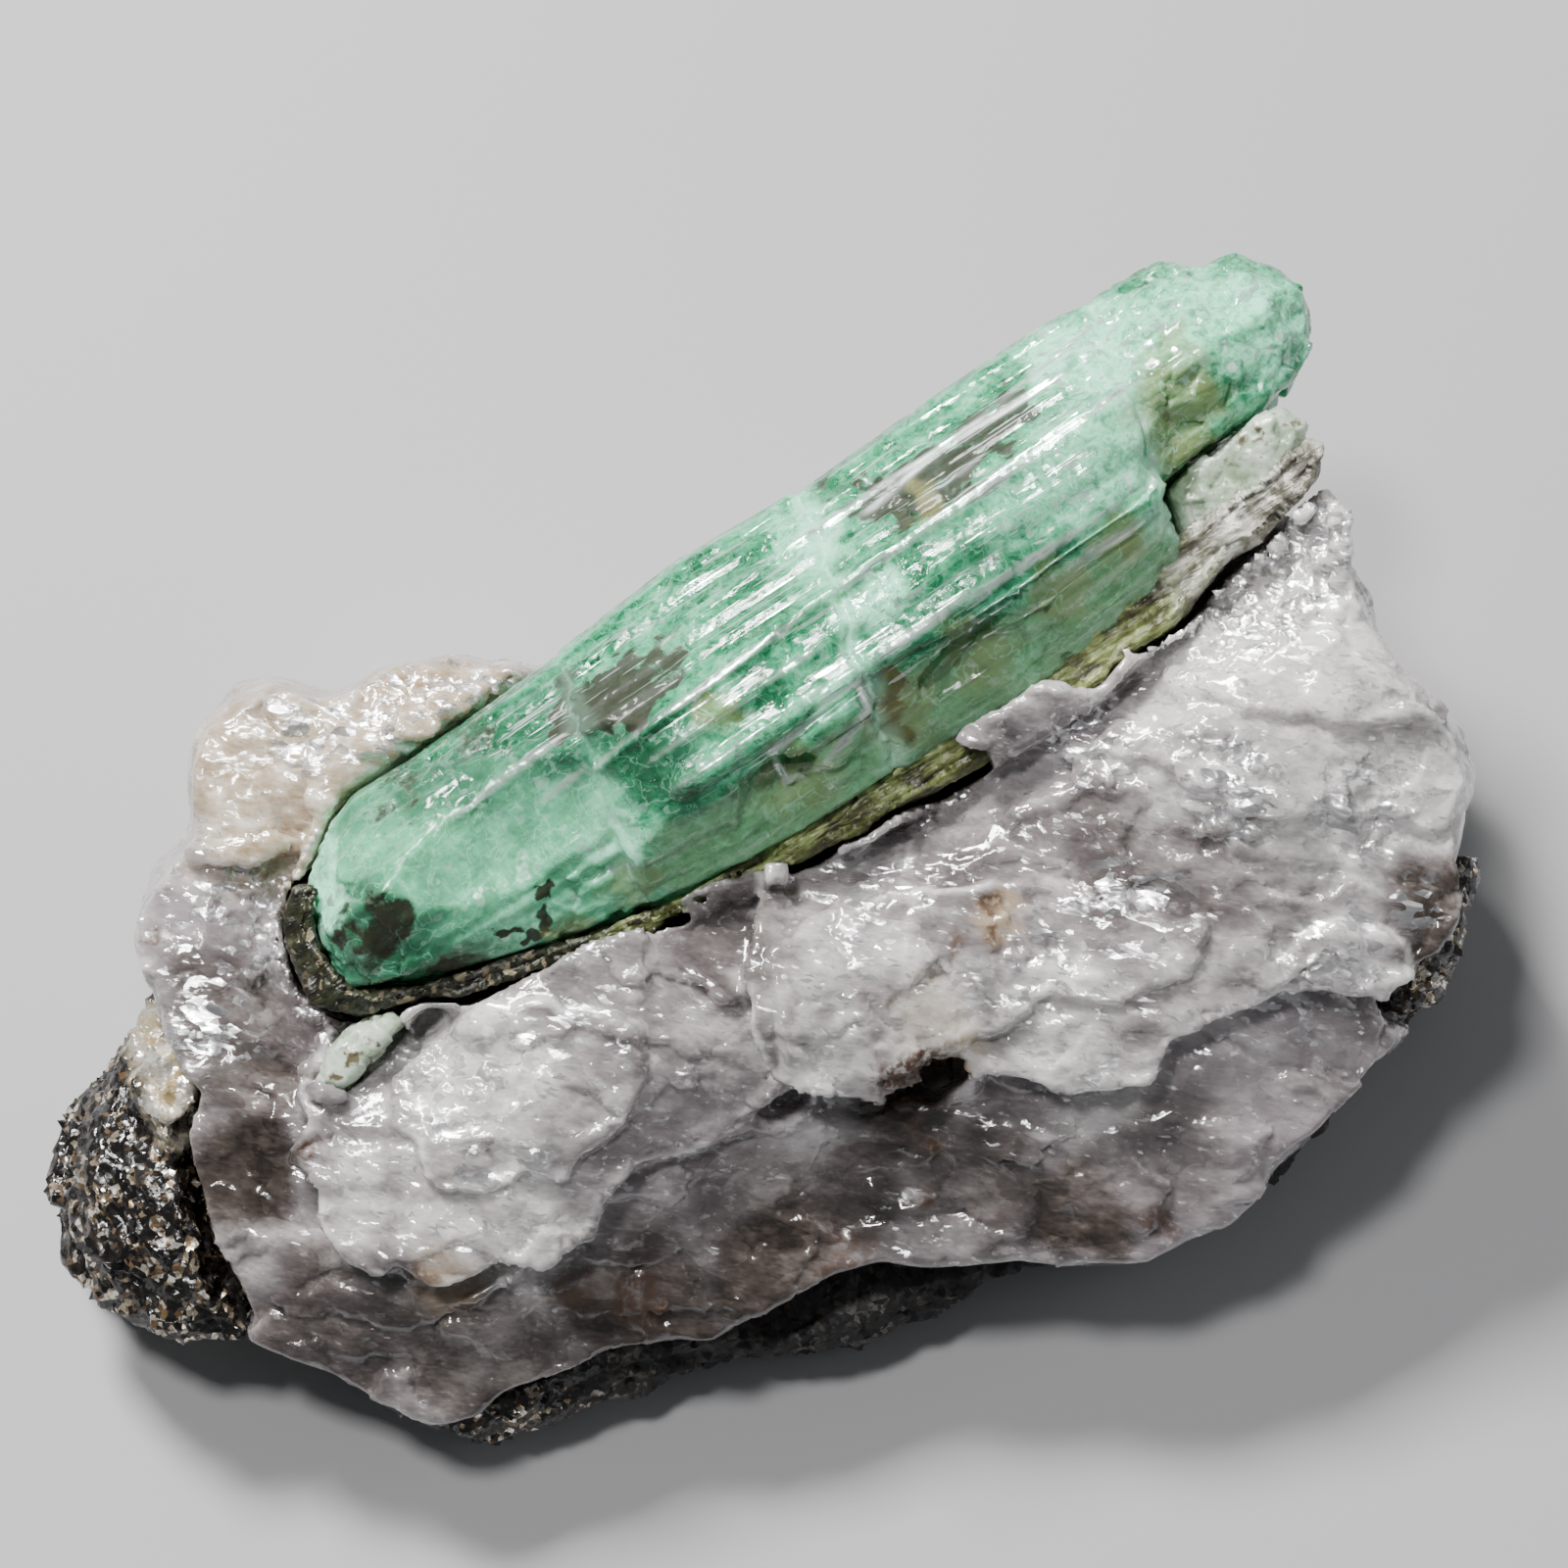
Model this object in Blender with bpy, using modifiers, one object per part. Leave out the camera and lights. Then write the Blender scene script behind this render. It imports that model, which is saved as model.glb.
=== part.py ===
"""Emerald in matrix: a long emerald crystal on a quartz vein that still sits on its dark mica schist.

All sizes here are millimetres in the specimen's own frame: X runs along the specimen, Y up the face that
carries the crystal, and Z straight out of that face. The last step scales everything to metres and leans the
specimen back, so that it lies on its schist with the crystal on top.
Shapes seen from the face are outlines of (x, y) points; heights are Z.
"""

import math
import random

import bmesh
import bpy
from mathutils import Matrix, Vector, noise

MM = 0.001
LEAN_DEG = 18.0  # how far the crystal's face leans back from level
FLOOR_DEPTH = 12.2  # from the specimen's mid plane down to the floor, along Z
GAP = 0.3  # between two minerals that touch
WIDE_GAP = 0.42  # round what is cut out of the quartz, whose facets are the coarsest
SELVAGE_GAP = 0.6  # the mica sheet is thin, so the quartz keeps well clear of it

# The crystal's own frame: s along the prism, t across it, d out of the face.
PRISM_ORIGIN = Vector((0.7, 8.0, 3.8))
PRISM_TURN_DEG = 33.5
PRISM_SLANT = -0.24  # the cross fractures lean along the prism by this share of t
STRIA_RELIEF = 0.10
RIDGE_A = (-0.2, 4.3)
RIDGE_B = (2.5, 4.6)
# How many striae each side of the section carries, from the upper edge over the top to the back.
STRIAE = [1, 10, 4, 8, 3, 2, 2, 2, 1]
# Stations along the prism: s, upper edge t, lower edge t, share of depth, how far ridge B stands, drop.
PRISM_STATIONS = [
    (-20.5, -1.6, 0.9, 0.34, 0.0, 0.9),
    (-20.2, -2.4, 1.9, 0.52, 0.0, 0.7),
    (-18.9, -3.4, 2.7, 0.74, 0.0, 0.4),
    (-17.6, -3.9, 3.3, 0.90, 0.0, 0.2),
    (-14.9, -3.8, 4.1, 0.96, 0.0, 0.1),
    (-11.4, -3.9, 5.1, 0.97, 0.0, 0.1),
    (-8.6, -4.0, 5.6, 0.98, 0.1, 0.1),
    (-8.3, -4.1, 5.8, 1.00, 0.8, -0.1),
    (-2.7, -4.5, 6.2, 1.00, 1.0, -0.1),
    (2.2, -4.2, 6.3, 1.00, 1.0, 0.0),
    (2.5, -4.1, 6.5, 1.02, 1.0, 0.15),
    (8.4, -4.3, 6.5, 1.02, 1.0, 0.1),
    (13.4, -4.3, 6.1, 1.00, 0.8, 0.1),
    (15.0, -4.1, 5.6, 0.97, 0.6, 0.2),
    (15.3, -4.2, 3.2, 0.90, 0.5, 0.4),
    (18.4, -4.0, 3.1, 0.84, 0.4, 0.6),
    (19.8, -2.9, 3.1, 0.78, 0.3, 0.8),
    (21.3, -2.7, 2.8, 0.70, 0.2, 0.9),
    (22.7, -1.2, 1.9, 0.44, 0.0, 1.1),
    (23.2, -0.3, 0.9, 0.20, 0.0, 1.3),
]
# Chips broken from the crystal: centre (s, t, d), radius, and how far the chip is squashed along s, t, d.
PRISM_CHIPS = [
    ((-20.4, -3.6, 1.6), 2.2, (1.0, 1.0, 1.0)),
    ((-12.4, 1.4, 13.6), 11.2, (1.0, 1.0, 1.0)),
    ((3.0, -4.5, 1.0), 1.2, (0.8, 1.0, 1.0)),
    ((-3.0, 4.8, 3.7), 1.8, (1.3, 1.0, 1.0)),
    ((5.2, 5.0, 3.8), 1.9, (1.8, 1.0, 1.0)),
    ((16.8, 2.6, 4.4), 2.3, (1.4, 1.0, 1.0)),
    ((20.8, -2.5, 2.9), 1.8, (1.0, 1.0, 1.0)),
    ((22.9, 0.7, 1.7), 1.4, (1.0, 1.0, 1.0)),
]

QUARTZ_RIM = [
    (-20.6, -18.0), (-22.2, -14.0), (-22.8, -10.4), (-22.4, -7.8), (-22.7, -6.2), (-23.6, -3.1),
    (-23.3, -1.5), (-22.4, -0.4), (-21.1, -0.2), (-21.2, 1.6), (-20.8, 2.8), (-19.2, 4.6),
    (-16.0, 5.3), (-13.6, 6.3), (-10.2, 6.2), (-8.5, 6.4), (-5.8, 8.0), (-0.7, 11.3),
    (4.4, 14.5), (9.5, 17.5), (12.7, 17.8), (16.0, 15.3), (18.5, 12.4), (19.8, 13.8),
    (20.5, 13.4), (21.6, 10.5), (23.0, 7.7), (24.0, 6.4), (25.3, 5.7), (26.3, 4.5),
    (26.8, 2.9), (26.1, 0.1), (26.1, -1.8), (24.8, -5.9), (22.4, -8.0), (21.2, -10.3),
    (17.8, -13.4), (13.8, -15.5), (8.0, -15.5), (4.4, -15.3), (2.5, -15.7), (0.7, -16.9),
    (-2.9, -18.3), (-6.5, -19.5), (-9.5, -20.7), (-11.5, -21.5), (-14.5, -20.7), (-17.5, -19.3),
]
MIDDLE_SLAB = [
    (2.0, 1.3), (0.7, 0.3), (-0.1, -1.5), (-0.7, -3.3), (-0.8, -5.1), (-0.4, -6.5), (0.4, -8.3),
    (2.2, -9.0), (3.6, -8.7), (4.5, -8.0), (5.5, -7.5), (7.1, -7.3), (8.0, -7.9), (10.2, -8.3),
    (11.6, -8.8), (14.3, -8.5), (14.9, -6.9), (18.9, -5.2), (24.0, -4.9), (25.4, -2.5), (25.8, 0.0),
    (26.2, 2.5), (25.3, 4.5), (23.3, 6.0), (21.1, 7.6), (16.7, 8.4), (13.8, 7.8), (11.1, 6.4),
    (8.0, 4.4), (4.4, 2.5),
]
UPPER_MIDDLE_STEP = [
    (6.8, 4.2), (9.0, 3.6), (12.0, 3.6), (14.6, 3.2), (17.0, 1.9), (18.4, 1.2), (20.5, 1.6),
    (22.6, 1.3), (24.8, 1.0), (25.9, 2.6), (25.2, 4.6), (23.0, 6.2), (20.6, 8.4), (16.0, 8.6),
    (12.0, 7.2), (8.8, 5.2),
]
LOWER_MIDDLE_STEP = [
    (0.3, -4.0), (3.0, -1.8), (7.0, -1.2), (10.5, -1.0), (13.5, -2.3), (16.5, -2.7), (15.5, -4.6),
    (13.0, -5.4), (10.6, -5.2), (8.6, -6.4), (5.6, -7.2), (3.2, -8.4), (0.9, -7.9),
]
UPPER_RIGHT_BLOCK = [
    (13.9, 8.8), (15.0, 6.5), (17.5, 5.3), (20.7, 4.6), (24.0, 4.6), (25.1, 5.6), (23.9, 6.3),
    (22.9, 7.6), (22.3, 9.0), (21.5, 10.6), (20.9, 12.2), (20.5, 13.3), (19.8, 13.7), (18.8, 12.3),
    (16.9, 10.2),
]
LEFT_SLAB = [
    (-16.5, -7.1), (-17.2, -8.7), (-17.0, -10.2), (-17.5, -11.5), (-16.6, -12.0), (-16.4, -13.5),
    (-15.8, -14.8), (-13.9, -15.7), (-13.4, -15.2), (-12.9, -15.9), (-11.9, -16.2), (-10.1, -15.1),
    (-8.3, -15.2), (-7.7, -14.6), (-6.5, -13.8), (-6.0, -12.5), (-5.1, -11.6), (-2.2, -11.1),
    (0.4, -9.5), (1.3, -3.3), (2.0, 0.7), (-1.5, -0.4), (-5.1, -2.5), (-8.0, -3.3),
    (-10.9, -4.3), (-13.8, -5.2),
]
LEFT_INNER_STEP = [
    (-13.7, -8.8), (-13.8, -10.2), (-12.7, -10.6), (-12.4, -11.8), (-11.8, -12.4), (-10.2, -12.2),
    (-9.1, -11.6), (-7.9, -11.8), (-6.2, -10.7), (-4.4, -8.7), (-4.2, -6.5), (-8.0, -5.2),
    (-12.0, -6.4),
]
LOWER_RIGHT_FACE = [
    (6.7, -9.1), (7.5, -8.2), (10.2, -7.8), (14.3, -7.6), (15.6, -5.6), (18.9, -4.3), (23.6, -4.4),
    (22.2, -7.8), (20.8, -10.1), (17.2, -12.6), (13.5, -14.6), (10.2, -14.4), (7.5, -13.0),
    (6.4, -11.3),
]
RIGHT_LENS = [
    (19.0, -3.7), (19.9, -2.8), (21.1, -2.4), (22.6, -2.8), (23.7, -3.8), (24.1, -4.8), (22.5, -5.1),
    (20.7, -4.8), (19.3, -4.4),
]
REAR_BLOCK = [
    (-21.0, -0.1), (-21.2, 1.6), (-21.0, 3.0), (-20.2, 3.9), (-19.2, 4.9), (-17.8, 5.5), (-16.0, 5.7),
    (-14.7, 6.5), (-13.6, 6.8), (-10.2, 6.5), (-9.7, 6.9), (-8.5, 6.4), (-6.5, 5.5), (-8.0, 2.5),
    (-12.7, -0.4), (-17.5, -0.7),
]
REAR_BLOCK_LIP = [
    (-21.0, -0.1), (-21.2, 1.6), (-20.9, 2.9), (-17.5, 2.6), (-13.8, 2.9), (-10.9, 4.0),
    (-11.6, 1.5), (-14.5, -0.4), (-17.5, -0.7),
]
LEFT_KNOB = [
    (-22.4, -5.6), (-23.1, -4.7), (-23.7, -3.1), (-23.3, -1.5), (-22.4, -0.5), (-20.9, -0.5),
    (-19.9, -1.8), (-20.4, -3.6), (-21.0, -5.4),
]
LEFT_SHOULDER = [
    (-21.6, -8.6), (-21.9, -5.8), (-20.4, -2.6), (-18.9, -0.6), (-16.7, -1.1), (-16.9, -4.2),
    (-16.6, -8.4), (-18.6, -10.4),
]
# Quartz forms: outline, levels of (height, swell) from the back to the front, and slope along X and Y.
QUARTZ_FORMS = [
    (QUARTZ_RIM, [(-19.5, 0.80), (-8.0, 0.93), (-2.0, 0.995), (0.3, 1.0), (2.4, 0.90)], (0.0, 0.05)),
    (MIDDLE_SLAB, [(0.0, 1.02), (4.6, 1.0), (5.4, 0.96)], (-0.07, 0.03)),
    (UPPER_MIDDLE_STEP, [(2.0, 1.0), (6.0, 1.0), (6.7, 0.93)], (-0.10, 0.06)),
    (LOWER_MIDDLE_STEP, [(2.0, 1.0), (6.0, 1.0), (6.6, 0.93)], (-0.10, 0.04)),
    (UPPER_RIGHT_BLOCK, [(0.0, 1.02), (5.2, 1.0), (6.2, 0.88)], (-0.12, 0.03)),
    (LEFT_SLAB, [(0.0, 1.0), (3.6, 1.0), (4.6, 0.95)], (0.05, 0.12)),
    (LEFT_INNER_STEP, [(2.0, 1.0), (4.9, 1.0), (5.6, 0.90)], (0.05, 0.12)),
    (LOWER_RIGHT_FACE, [(-2.0, 1.02), (2.4, 1.0), (3.2, 0.88)], (-0.10, 0.22)),
    (RIGHT_LENS, [(1.0, 1.1), (3.6, 1.0), (4.4, 0.70)], (-0.12, 0.10)),
    (REAR_BLOCK, [(-14.0, 0.94), (-2.0, 1.02), (1.2, 1.0), (2.2, 0.90)], (0.0, -0.35)),
    (REAR_BLOCK_LIP, [(-4.0, 1.0), (1.8, 1.0), (2.4, 0.92)], (0.03, -0.10)),
    (LEFT_KNOB, [(-6.0, 0.95), (1.2, 1.0), (2.6, 0.68)], (0.10, 0.05)),
    (LEFT_SHOULDER, [(-4.0, 1.0), (2.2, 1.0), (3.0, 0.86)], (0.14, 0.03)),
]

SCHIST_BASE = [
    (-19.8, -18.3), (-17.5, -19.6), (-14.5, -21.0), (-11.3, -21.8), (-9.5, -21.3), (-6.5, -20.4),
    (-2.9, -19.8), (0.4, -19.1), (3.0, -18.8), (5.8, -18.0), (6.9, -17.4), (9.5, -16.4),
    (11.3, -15.8), (14.0, -15.8), (16.1, -15.0), (18.0, -13.6), (19.6, -12.6), (21.2, -11.0),
    (22.1, -9.2), (22.6, -8.1), (24.9, -6.0), (25.8, -4.2), (26.3, -2.0), (26.1, -0.9),
    (24.5, 0.4), (22.5, 4.0), (19.5, 8.0), (13.0, 12.5), (5.0, 12.0), (-4.0, 7.0),
    (-12.0, 4.0), (-18.5, 2.0), (-20.5, -1.0), (-21.5, -4.5), (-22.3, -7.5), (-24.0, -12.0),
    (-23.5, -17.0),
]
SCHIST_CORNER = [
    (-19.9, -18.2), (-23.6, -17.8), (-26.1, -16.9), (-26.6, -15.5), (-26.9, -13.8), (-26.5, -12.4),
    (-26.0, -10.7), (-24.7, -8.5), (-23.6, -6.6), (-22.6, -6.2), (-21.2, -7.0), (-21.0, -8.4),
    (-21.7, -10.2), (-21.5, -12.0), (-21.0, -14.2), (-20.4, -16.4),
]
SCHIST_RIGHT_PATCH = [
    (21.4, -1.8), (22.8, -0.6), (24.6, -0.2), (26.2, -0.7), (26.4, -2.0), (25.9, -4.2), (25.0, -5.9),
    (24.2, -6.3), (23.4, -5.6), (23.5, -4.4), (22.6, -3.0),
]
FLOOR_SLOPE = -math.tan(math.radians(LEAN_DEG))  # a level surface in this leaning frame
SCHIST_FORMS = [
    (SCHIST_BASE, [(-24.0, 0.88), (-9.0, 0.97), (-5.2, 1.0), (-4.6, 0.94)], (0.0, FLOOR_SLOPE)),
    (SCHIST_CORNER, [(-18.0, 0.92), (-7.0, 1.0), (-0.6, 1.0), (1.6, 0.74)], (0.22, -0.04)),
    (SCHIST_RIGHT_PATCH, [(-16.0, 0.9), (-1.0, 1.02), (2.9, 1.0), (3.5, 0.86)], (-0.30, 0.05)),
]

# The mica that wraps the crystal's lower flank, from its blunt end to its tip.
SELVAGE_RIM = [
    (-17.6, -1.3), (-17.7, -2.9), (-17.2, -4.7), (-16.5, -5.7), (-15.2, -6.1), (-13.8, -5.6),
    (-12.0, -5.3), (-9.5, -4.6), (-6.5, -3.7), (-5.1, -3.2), (-2.9, -2.1), (0.4, -0.5),
    (2.2, 0.3), (4.4, 1.5), (8.0, 3.4), (10.2, 4.7), (12.0, 6.1), (14.9, 8.4),
    (16.7, 10.5), (18.9, 12.3), (20.3, 14.0), (20.6, 15.1), (20.0, 15.3),
    (18.9, 14.3), (16.7, 12.7), (14.9, 11.3), (11.6, 9.1), (8.0, 6.5), (4.4, 4.4),
    (1.8, 2.9), (-2.9, 0.7), (-6.5, -1.1), (-12.0, -2.2), (-14.5, -2.5), (-16.4, -1.1),
]
SELVAGE_LEVELS = [(-2.2, 0.995), (5.2, 1.0), (5.6, 0.99)]
SELVAGE_SLOPE = (0.02, 0.03)

PALE_BERYL_OUTLINE = [
    (14.7, 13.3), (15.3, 11.5), (17.0, 11.7), (18.5, 13.3), (19.1, 14.2), (19.9, 15.1), (20.0, 15.9),
    (18.9, 16.4), (18.0, 16.1), (16.9, 15.8), (15.4, 14.9),
]
PALE_BERYL_LEVELS = [(2.2, 0.94), (4.6, 1.0), (5.6, 0.80)]
SLIVER_OUTLINE = [
    (-16.5, -8.7), (-16.2, -7.5), (-15.3, -6.5), (-13.8, -6.0), (-13.4, -6.3), (-14.3, -7.2),
    (-15.2, -8.3), (-15.8, -8.9),
]
SLIVER_LEVELS = [(1.6, 0.9), (4.3, 1.0), (4.9, 0.78)]

QUARTZ_VOXEL, QUARTZ_TRIANGLES = 0.42, 5100
SCHIST_VOXEL, SCHIST_TRIANGLES = 0.5, 2400
SELVAGE_VOXEL, SELVAGE_TRIANGLES = 0.28, 800
BERYL_VOXEL, BERYL_TRIANGLES = 0.18, 180
ROOM_VOXEL = 0.25
ROOM_ALLOWANCE = 0.1  # the voxels round a cutter's corners off by about this much


def clear_scene():
    for old in list(bpy.data.objects):
        bpy.data.objects.remove(old)


def new_collection(name):
    made = bpy.data.collections.new(name)
    bpy.context.scene.collection.children.link(made)
    return made


def finish_mesh(name, bm, home):
    """Closes a bmesh into a named object of a collection, with its faces pointing out."""
    bmesh.ops.triangulate(bm, faces=bm.faces)
    bmesh.ops.recalc_face_normals(bm, faces=bm.faces)
    mesh = bpy.data.meshes.new(name)
    bm.to_mesh(mesh)
    bm.free()
    made = bpy.data.objects.new(name, mesh)
    home.objects.link(made)
    return made


def extrude_to(bm, face, place):
    """Extrudes a face and moves each corner of the new end with place(corner); returns that end."""
    made = bmesh.ops.extrude_face_region(bm, geom=[face, *face.edges, *face.verts])["geom"]
    for item in made:
        if isinstance(item, bmesh.types.BMVert):
            item.co = place(item.co)
    return next(item for item in made if isinstance(item, bmesh.types.BMFace))


def add_form(bm, outline, levels, slope):
    """Adds one closed form: its outline is a face at the back, extruded through levels of (height, swell)."""
    centre = sum((Vector(point) for point in outline), Vector((0, 0))) / len(outline)
    before = set(bm.verts)
    height, swell = levels[0]
    corners = [centre + (Vector(point) - centre) * swell for point in outline]
    face = bm.faces.new([bm.verts.new((x, y, height)) for x, y in corners])
    for next_height, next_swell in levels[1:]:
        grow = next_swell / swell
        lift = next_height - height
        face = extrude_to(bm, face, lambda co: Vector((
            centre.x + (co.x - centre.x) * grow, centre.y + (co.y - centre.y) * grow, co.z + lift)))
        height, swell = next_height, next_swell
    for vert in set(bm.verts) - before:
        away = vert.co.xy - centre
        vert.co.z += slope[0] * away.x + slope[1] * away.y


def forms_object(name, forms, home):
    bm = bmesh.new()
    for outline, levels, slope in forms:
        add_form(bm, outline, levels, slope)
    return finish_mesh(name, bm, home)


def settle(part):
    """Applies a part's modifiers."""
    bpy.context.view_layer.update()
    graph = bpy.context.evaluated_depsgraph_get()
    made = bpy.data.meshes.new_from_object(part.evaluated_get(graph))
    part.modifiers.clear()
    part.data = made


def remesh(part, voxel):
    step = part.modifiers.new("One skin", "REMESH")
    step.mode = "VOXEL"
    step.voxel_size = voxel
    settle(part)


def thin_out(part, triangles):
    """Brings a part down to about this many triangles, keeping its edges sharp."""
    tri = part.modifiers.new("Triangles", "TRIANGULATE")
    tri.min_vertices = 4
    settle(part)
    step = part.modifiers.new("Facets", "DECIMATE")
    step.ratio = min(1.0, triangles / len(part.data.polygons))
    settle(part)


def displace(part, offset):
    """Moves every point of a part along its normal by offset(point, normal)."""
    mesh = part.data
    moves = [vert.normal * offset(vert.co, vert.normal) for vert in mesh.vertices]
    for vert, move in zip(mesh.vertices, moves):
        vert.co = vert.co + move
    mesh.update()


def boolean(part, other, operation):
    step = part.modifiers.new("Join", "BOOLEAN")
    step.operation = operation
    step.solver = "EXACT"
    step.object = other
    settle(part)


def cut_clear_of(part, neighbours, gap=GAP):
    """Cuts a part back to a gap from each neighbour."""
    for neighbour in neighbours:
        room = bpy.data.objects.new("Room", neighbour.data.copy())
        bpy.context.scene.collection.objects.link(room)
        remesh(room, ROOM_VOXEL)
        displace(room, lambda co, normal: gap + ROOM_ALLOWANCE)
        remesh(room, ROOM_VOXEL)
        boolean(part, room, "DIFFERENCE")
        bpy.data.objects.remove(room)


def keep_largest(part):
    """Keeps the largest connected body of a part and drops the crumbs that a cut left."""
    bm = bmesh.new()
    bm.from_mesh(part.data)
    left = set(bm.verts)
    bodies = []
    while left:
        body = {left.pop()}
        edge = list(body)
        while edge:
            vert = edge.pop()
            near = {link.other_vert(vert) for link in vert.link_edges} & left
            left -= near
            body |= near
            edge.extend(near)
        bodies.append(body)
    bodies.sort(key=len)
    crumbs = [vert for body in bodies[:-1] for vert in body]
    bmesh.ops.delete(bm, geom=crumbs, context="VERTS")
    bm.to_mesh(part.data)
    bm.free()


def reface(part, voxel, triangles):
    """Gives a part that has been cut an even skin again, and then its final facets."""
    keep_largest(part)
    remesh(part, voxel)
    thin_out(part, triangles)


def conchoidal(size, depth, seed, on_face=1.0):
    """Shell shaped fracture: hollows that meet in sharp ridges, shallower by on_face where it faces out."""
    shift = Vector((seed * 3.1, seed * 1.7, seed * 2.3))

    def offset(co, normal):
        near = noise.voronoi(co / size + shift)[0][0]
        share = on_face if normal.z > 0.7 else 1.0
        return depth * share * (1.8 * near * near - 0.42)

    return offset


def ledges(size, rise, seed):
    """Broken sheets: the face steps up and down by one rise along scalloped edges."""
    shift = Vector((seed * 1.9, seed * 2.9, seed * 0.7))

    def offset(co, normal):
        scallop = noise.voronoi(Vector((co.x, co.y, 0)) / (size * 0.4) + shift)[0][0]
        level = 3.2 * noise.noise(Vector((co.x, co.y, 0)) / size + shift) + 0.5 * scallop
        return rise * math.floor(level + 0.5) * max(0.0, normal.z)

    return offset


def rough(size, depth, seed):
    shift = Vector((seed * 2.7, seed * 1.3, seed * 4.1))
    return lambda co, normal: depth * noise.noise(co / size + shift)


def foliated(depth, pitch):
    """Ragged layers, lying in the plane the specimen rests on."""
    lean = math.radians(LEAN_DEG)
    up = Vector((0, math.sin(lean), math.cos(lean)))

    def offset(co, normal):
        layer = math.floor(co.dot(up) / pitch)
        side = 1.0 - abs(normal.dot(up))
        ragged = noise.noise(Vector((co.x * 0.16, co.y * 0.16, layer * 1.7)))
        return depth * (0.35 + side) * ragged

    return offset


def prism_corners(upper, lower, share, ridge_b, drop):
    """The nine corners of the crystal's section (t, d), clockwise from its upper edge."""
    flat_b = 2.7 + (RIDGE_B[1] - 2.7) * ridge_b
    corners = [
        (upper, -0.5), (upper + 0.25, 0.6), RIDGE_A, (RIDGE_B[0], flat_b), (lower - 0.25, 1.5),
        (lower, -1.2), (lower * 0.55, -4.2), (-0.6, -4.8), (upper * 0.85, -3.0),
    ]
    return [(min(max(t, upper), lower), d * share - drop) for t, d in corners]


def prism_ring(station, relief):
    """Points round one section of the striated prism, in the crystal's own frame (s, t, d)."""
    s, *shape = station
    corners = [Vector(corner) for corner in prism_corners(*shape)]
    ring = []
    for side, count in enumerate(STRIAE):
        first = corners[side]
        along = corners[(side + 1) % len(corners)] - first
        out = Vector((-along.y, along.x)).normalized()
        for step in range(count):
            point = first + along * (step / count)
            point += out * relief[len(ring)] * (step > 0)
            ring.append(Vector((s + PRISM_SLANT * point.x, point.x, point.y)))
    return ring


def from_prism(point):
    turn = math.radians(PRISM_TURN_DEG)
    s, t, d = point
    along = Vector((math.cos(turn), math.sin(turn), 0))
    across = Vector((math.sin(turn), -math.cos(turn), 0))
    return PRISM_ORIGIN + along * s + across * t + Vector((0, 0, d))


def add_chip(centre, radius, squash, home):
    bm = bmesh.new()
    bmesh.ops.create_icosphere(bm, subdivisions=2 if radius < 5.0 else 4, radius=radius)
    for vert in bm.verts:
        bump = 1.0 + 0.3 / radius * noise.noise(vert.co * 0.9 + Vector(centre))
        local = Vector([bump * value * share for value, share in zip(vert.co, squash)])
        vert.co = from_prism(Vector(centre) + local)
    return finish_mesh("Chip", bm, home)


def emerald_crystal(home):
    """The long prism: one striated section, extruded from its broken end to its chipped tip."""
    random.seed(11)
    count = sum(STRIAE)
    relief = [STRIA_RELIEF * (1 if i % 2 else -1) * random.uniform(0.4, 1.3) for i in range(count)]
    bm = bmesh.new()
    ring = prism_ring(PRISM_STATIONS[0], relief)
    face = bm.faces.new([bm.verts.new(from_prism(point)) for point in ring])
    for station in PRISM_STATIONS[1:]:
        moved = [value + random.uniform(-0.04, 0.04) for value in relief]
        after = prism_ring(station, moved)
        moves = {from_prism(a).to_tuple(4): from_prism(b) for a, b in zip(ring, after)}
        face = extrude_to(bm, face, lambda co: moves[co.to_tuple(4)])
        ring = after
    prism = finish_mesh("emerald_crystal", bm, home)
    for centre, radius, squash in PRISM_CHIPS:
        chip = add_chip(centre, radius, squash, home)
        boolean(prism, chip, "DIFFERENCE")
        bpy.data.objects.remove(chip)
    keep_largest(prism)
    return prism


def small_crystal(name, outline, levels, slope, home):
    return forms_object(name, [(outline, levels, slope)], home)


def biotite_selvage(home):
    selvage = forms_object("biotite_selvage", [(SELVAGE_RIM, SELVAGE_LEVELS, SELVAGE_SLOPE)], home)
    remesh(selvage, SELVAGE_VOXEL)
    displace(selvage, rough(1.3, 0.30, 5))
    thin_out(selvage, SELVAGE_TRIANGLES)
    return selvage


def biotite_schist(home):
    schist = forms_object("biotite_schist", SCHIST_FORMS, home)
    remesh(schist, SCHIST_VOXEL)
    displace(schist, foliated(1.5, 0.9))
    displace(schist, rough(6.0, 0.7, 3))
    displace(schist, rough(1.6, 0.25, 4))
    thin_out(schist, SCHIST_TRIANGLES)
    return schist


def quartz_matrix(home):
    quartz = forms_object("quartz_matrix", QUARTZ_FORMS, home)
    remesh(quartz, QUARTZ_VOXEL)
    displace(quartz, ledges(9.0, 0.55, 4))
    displace(quartz, conchoidal(6.5, 0.9, 1, on_face=0.3))
    displace(quartz, conchoidal(2.6, 0.34, 2, on_face=0.6))
    displace(quartz, rough(1.1, 0.12, 6))
    remesh(quartz, QUARTZ_VOXEL)
    return quartz


def trim_at_floor(part, home):
    """Cuts away whatever lies under the plane that the specimen rests on."""
    bm = bmesh.new()
    bmesh.ops.create_cube(bm, size=200.0)
    lean = Matrix.Rotation(math.radians(-LEAN_DEG), 4, "X")
    down = Vector((0, 0, -FLOOR_DEPTH)) + lean @ Vector((0, 0, -100.0))
    bmesh.ops.transform(bm, matrix=Matrix.Translation(down) @ lean, verts=bm.verts)
    floor = finish_mesh("Floor", bm, home)
    boolean(part, floor, "DIFFERENCE")
    bpy.data.objects.remove(floor)


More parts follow.
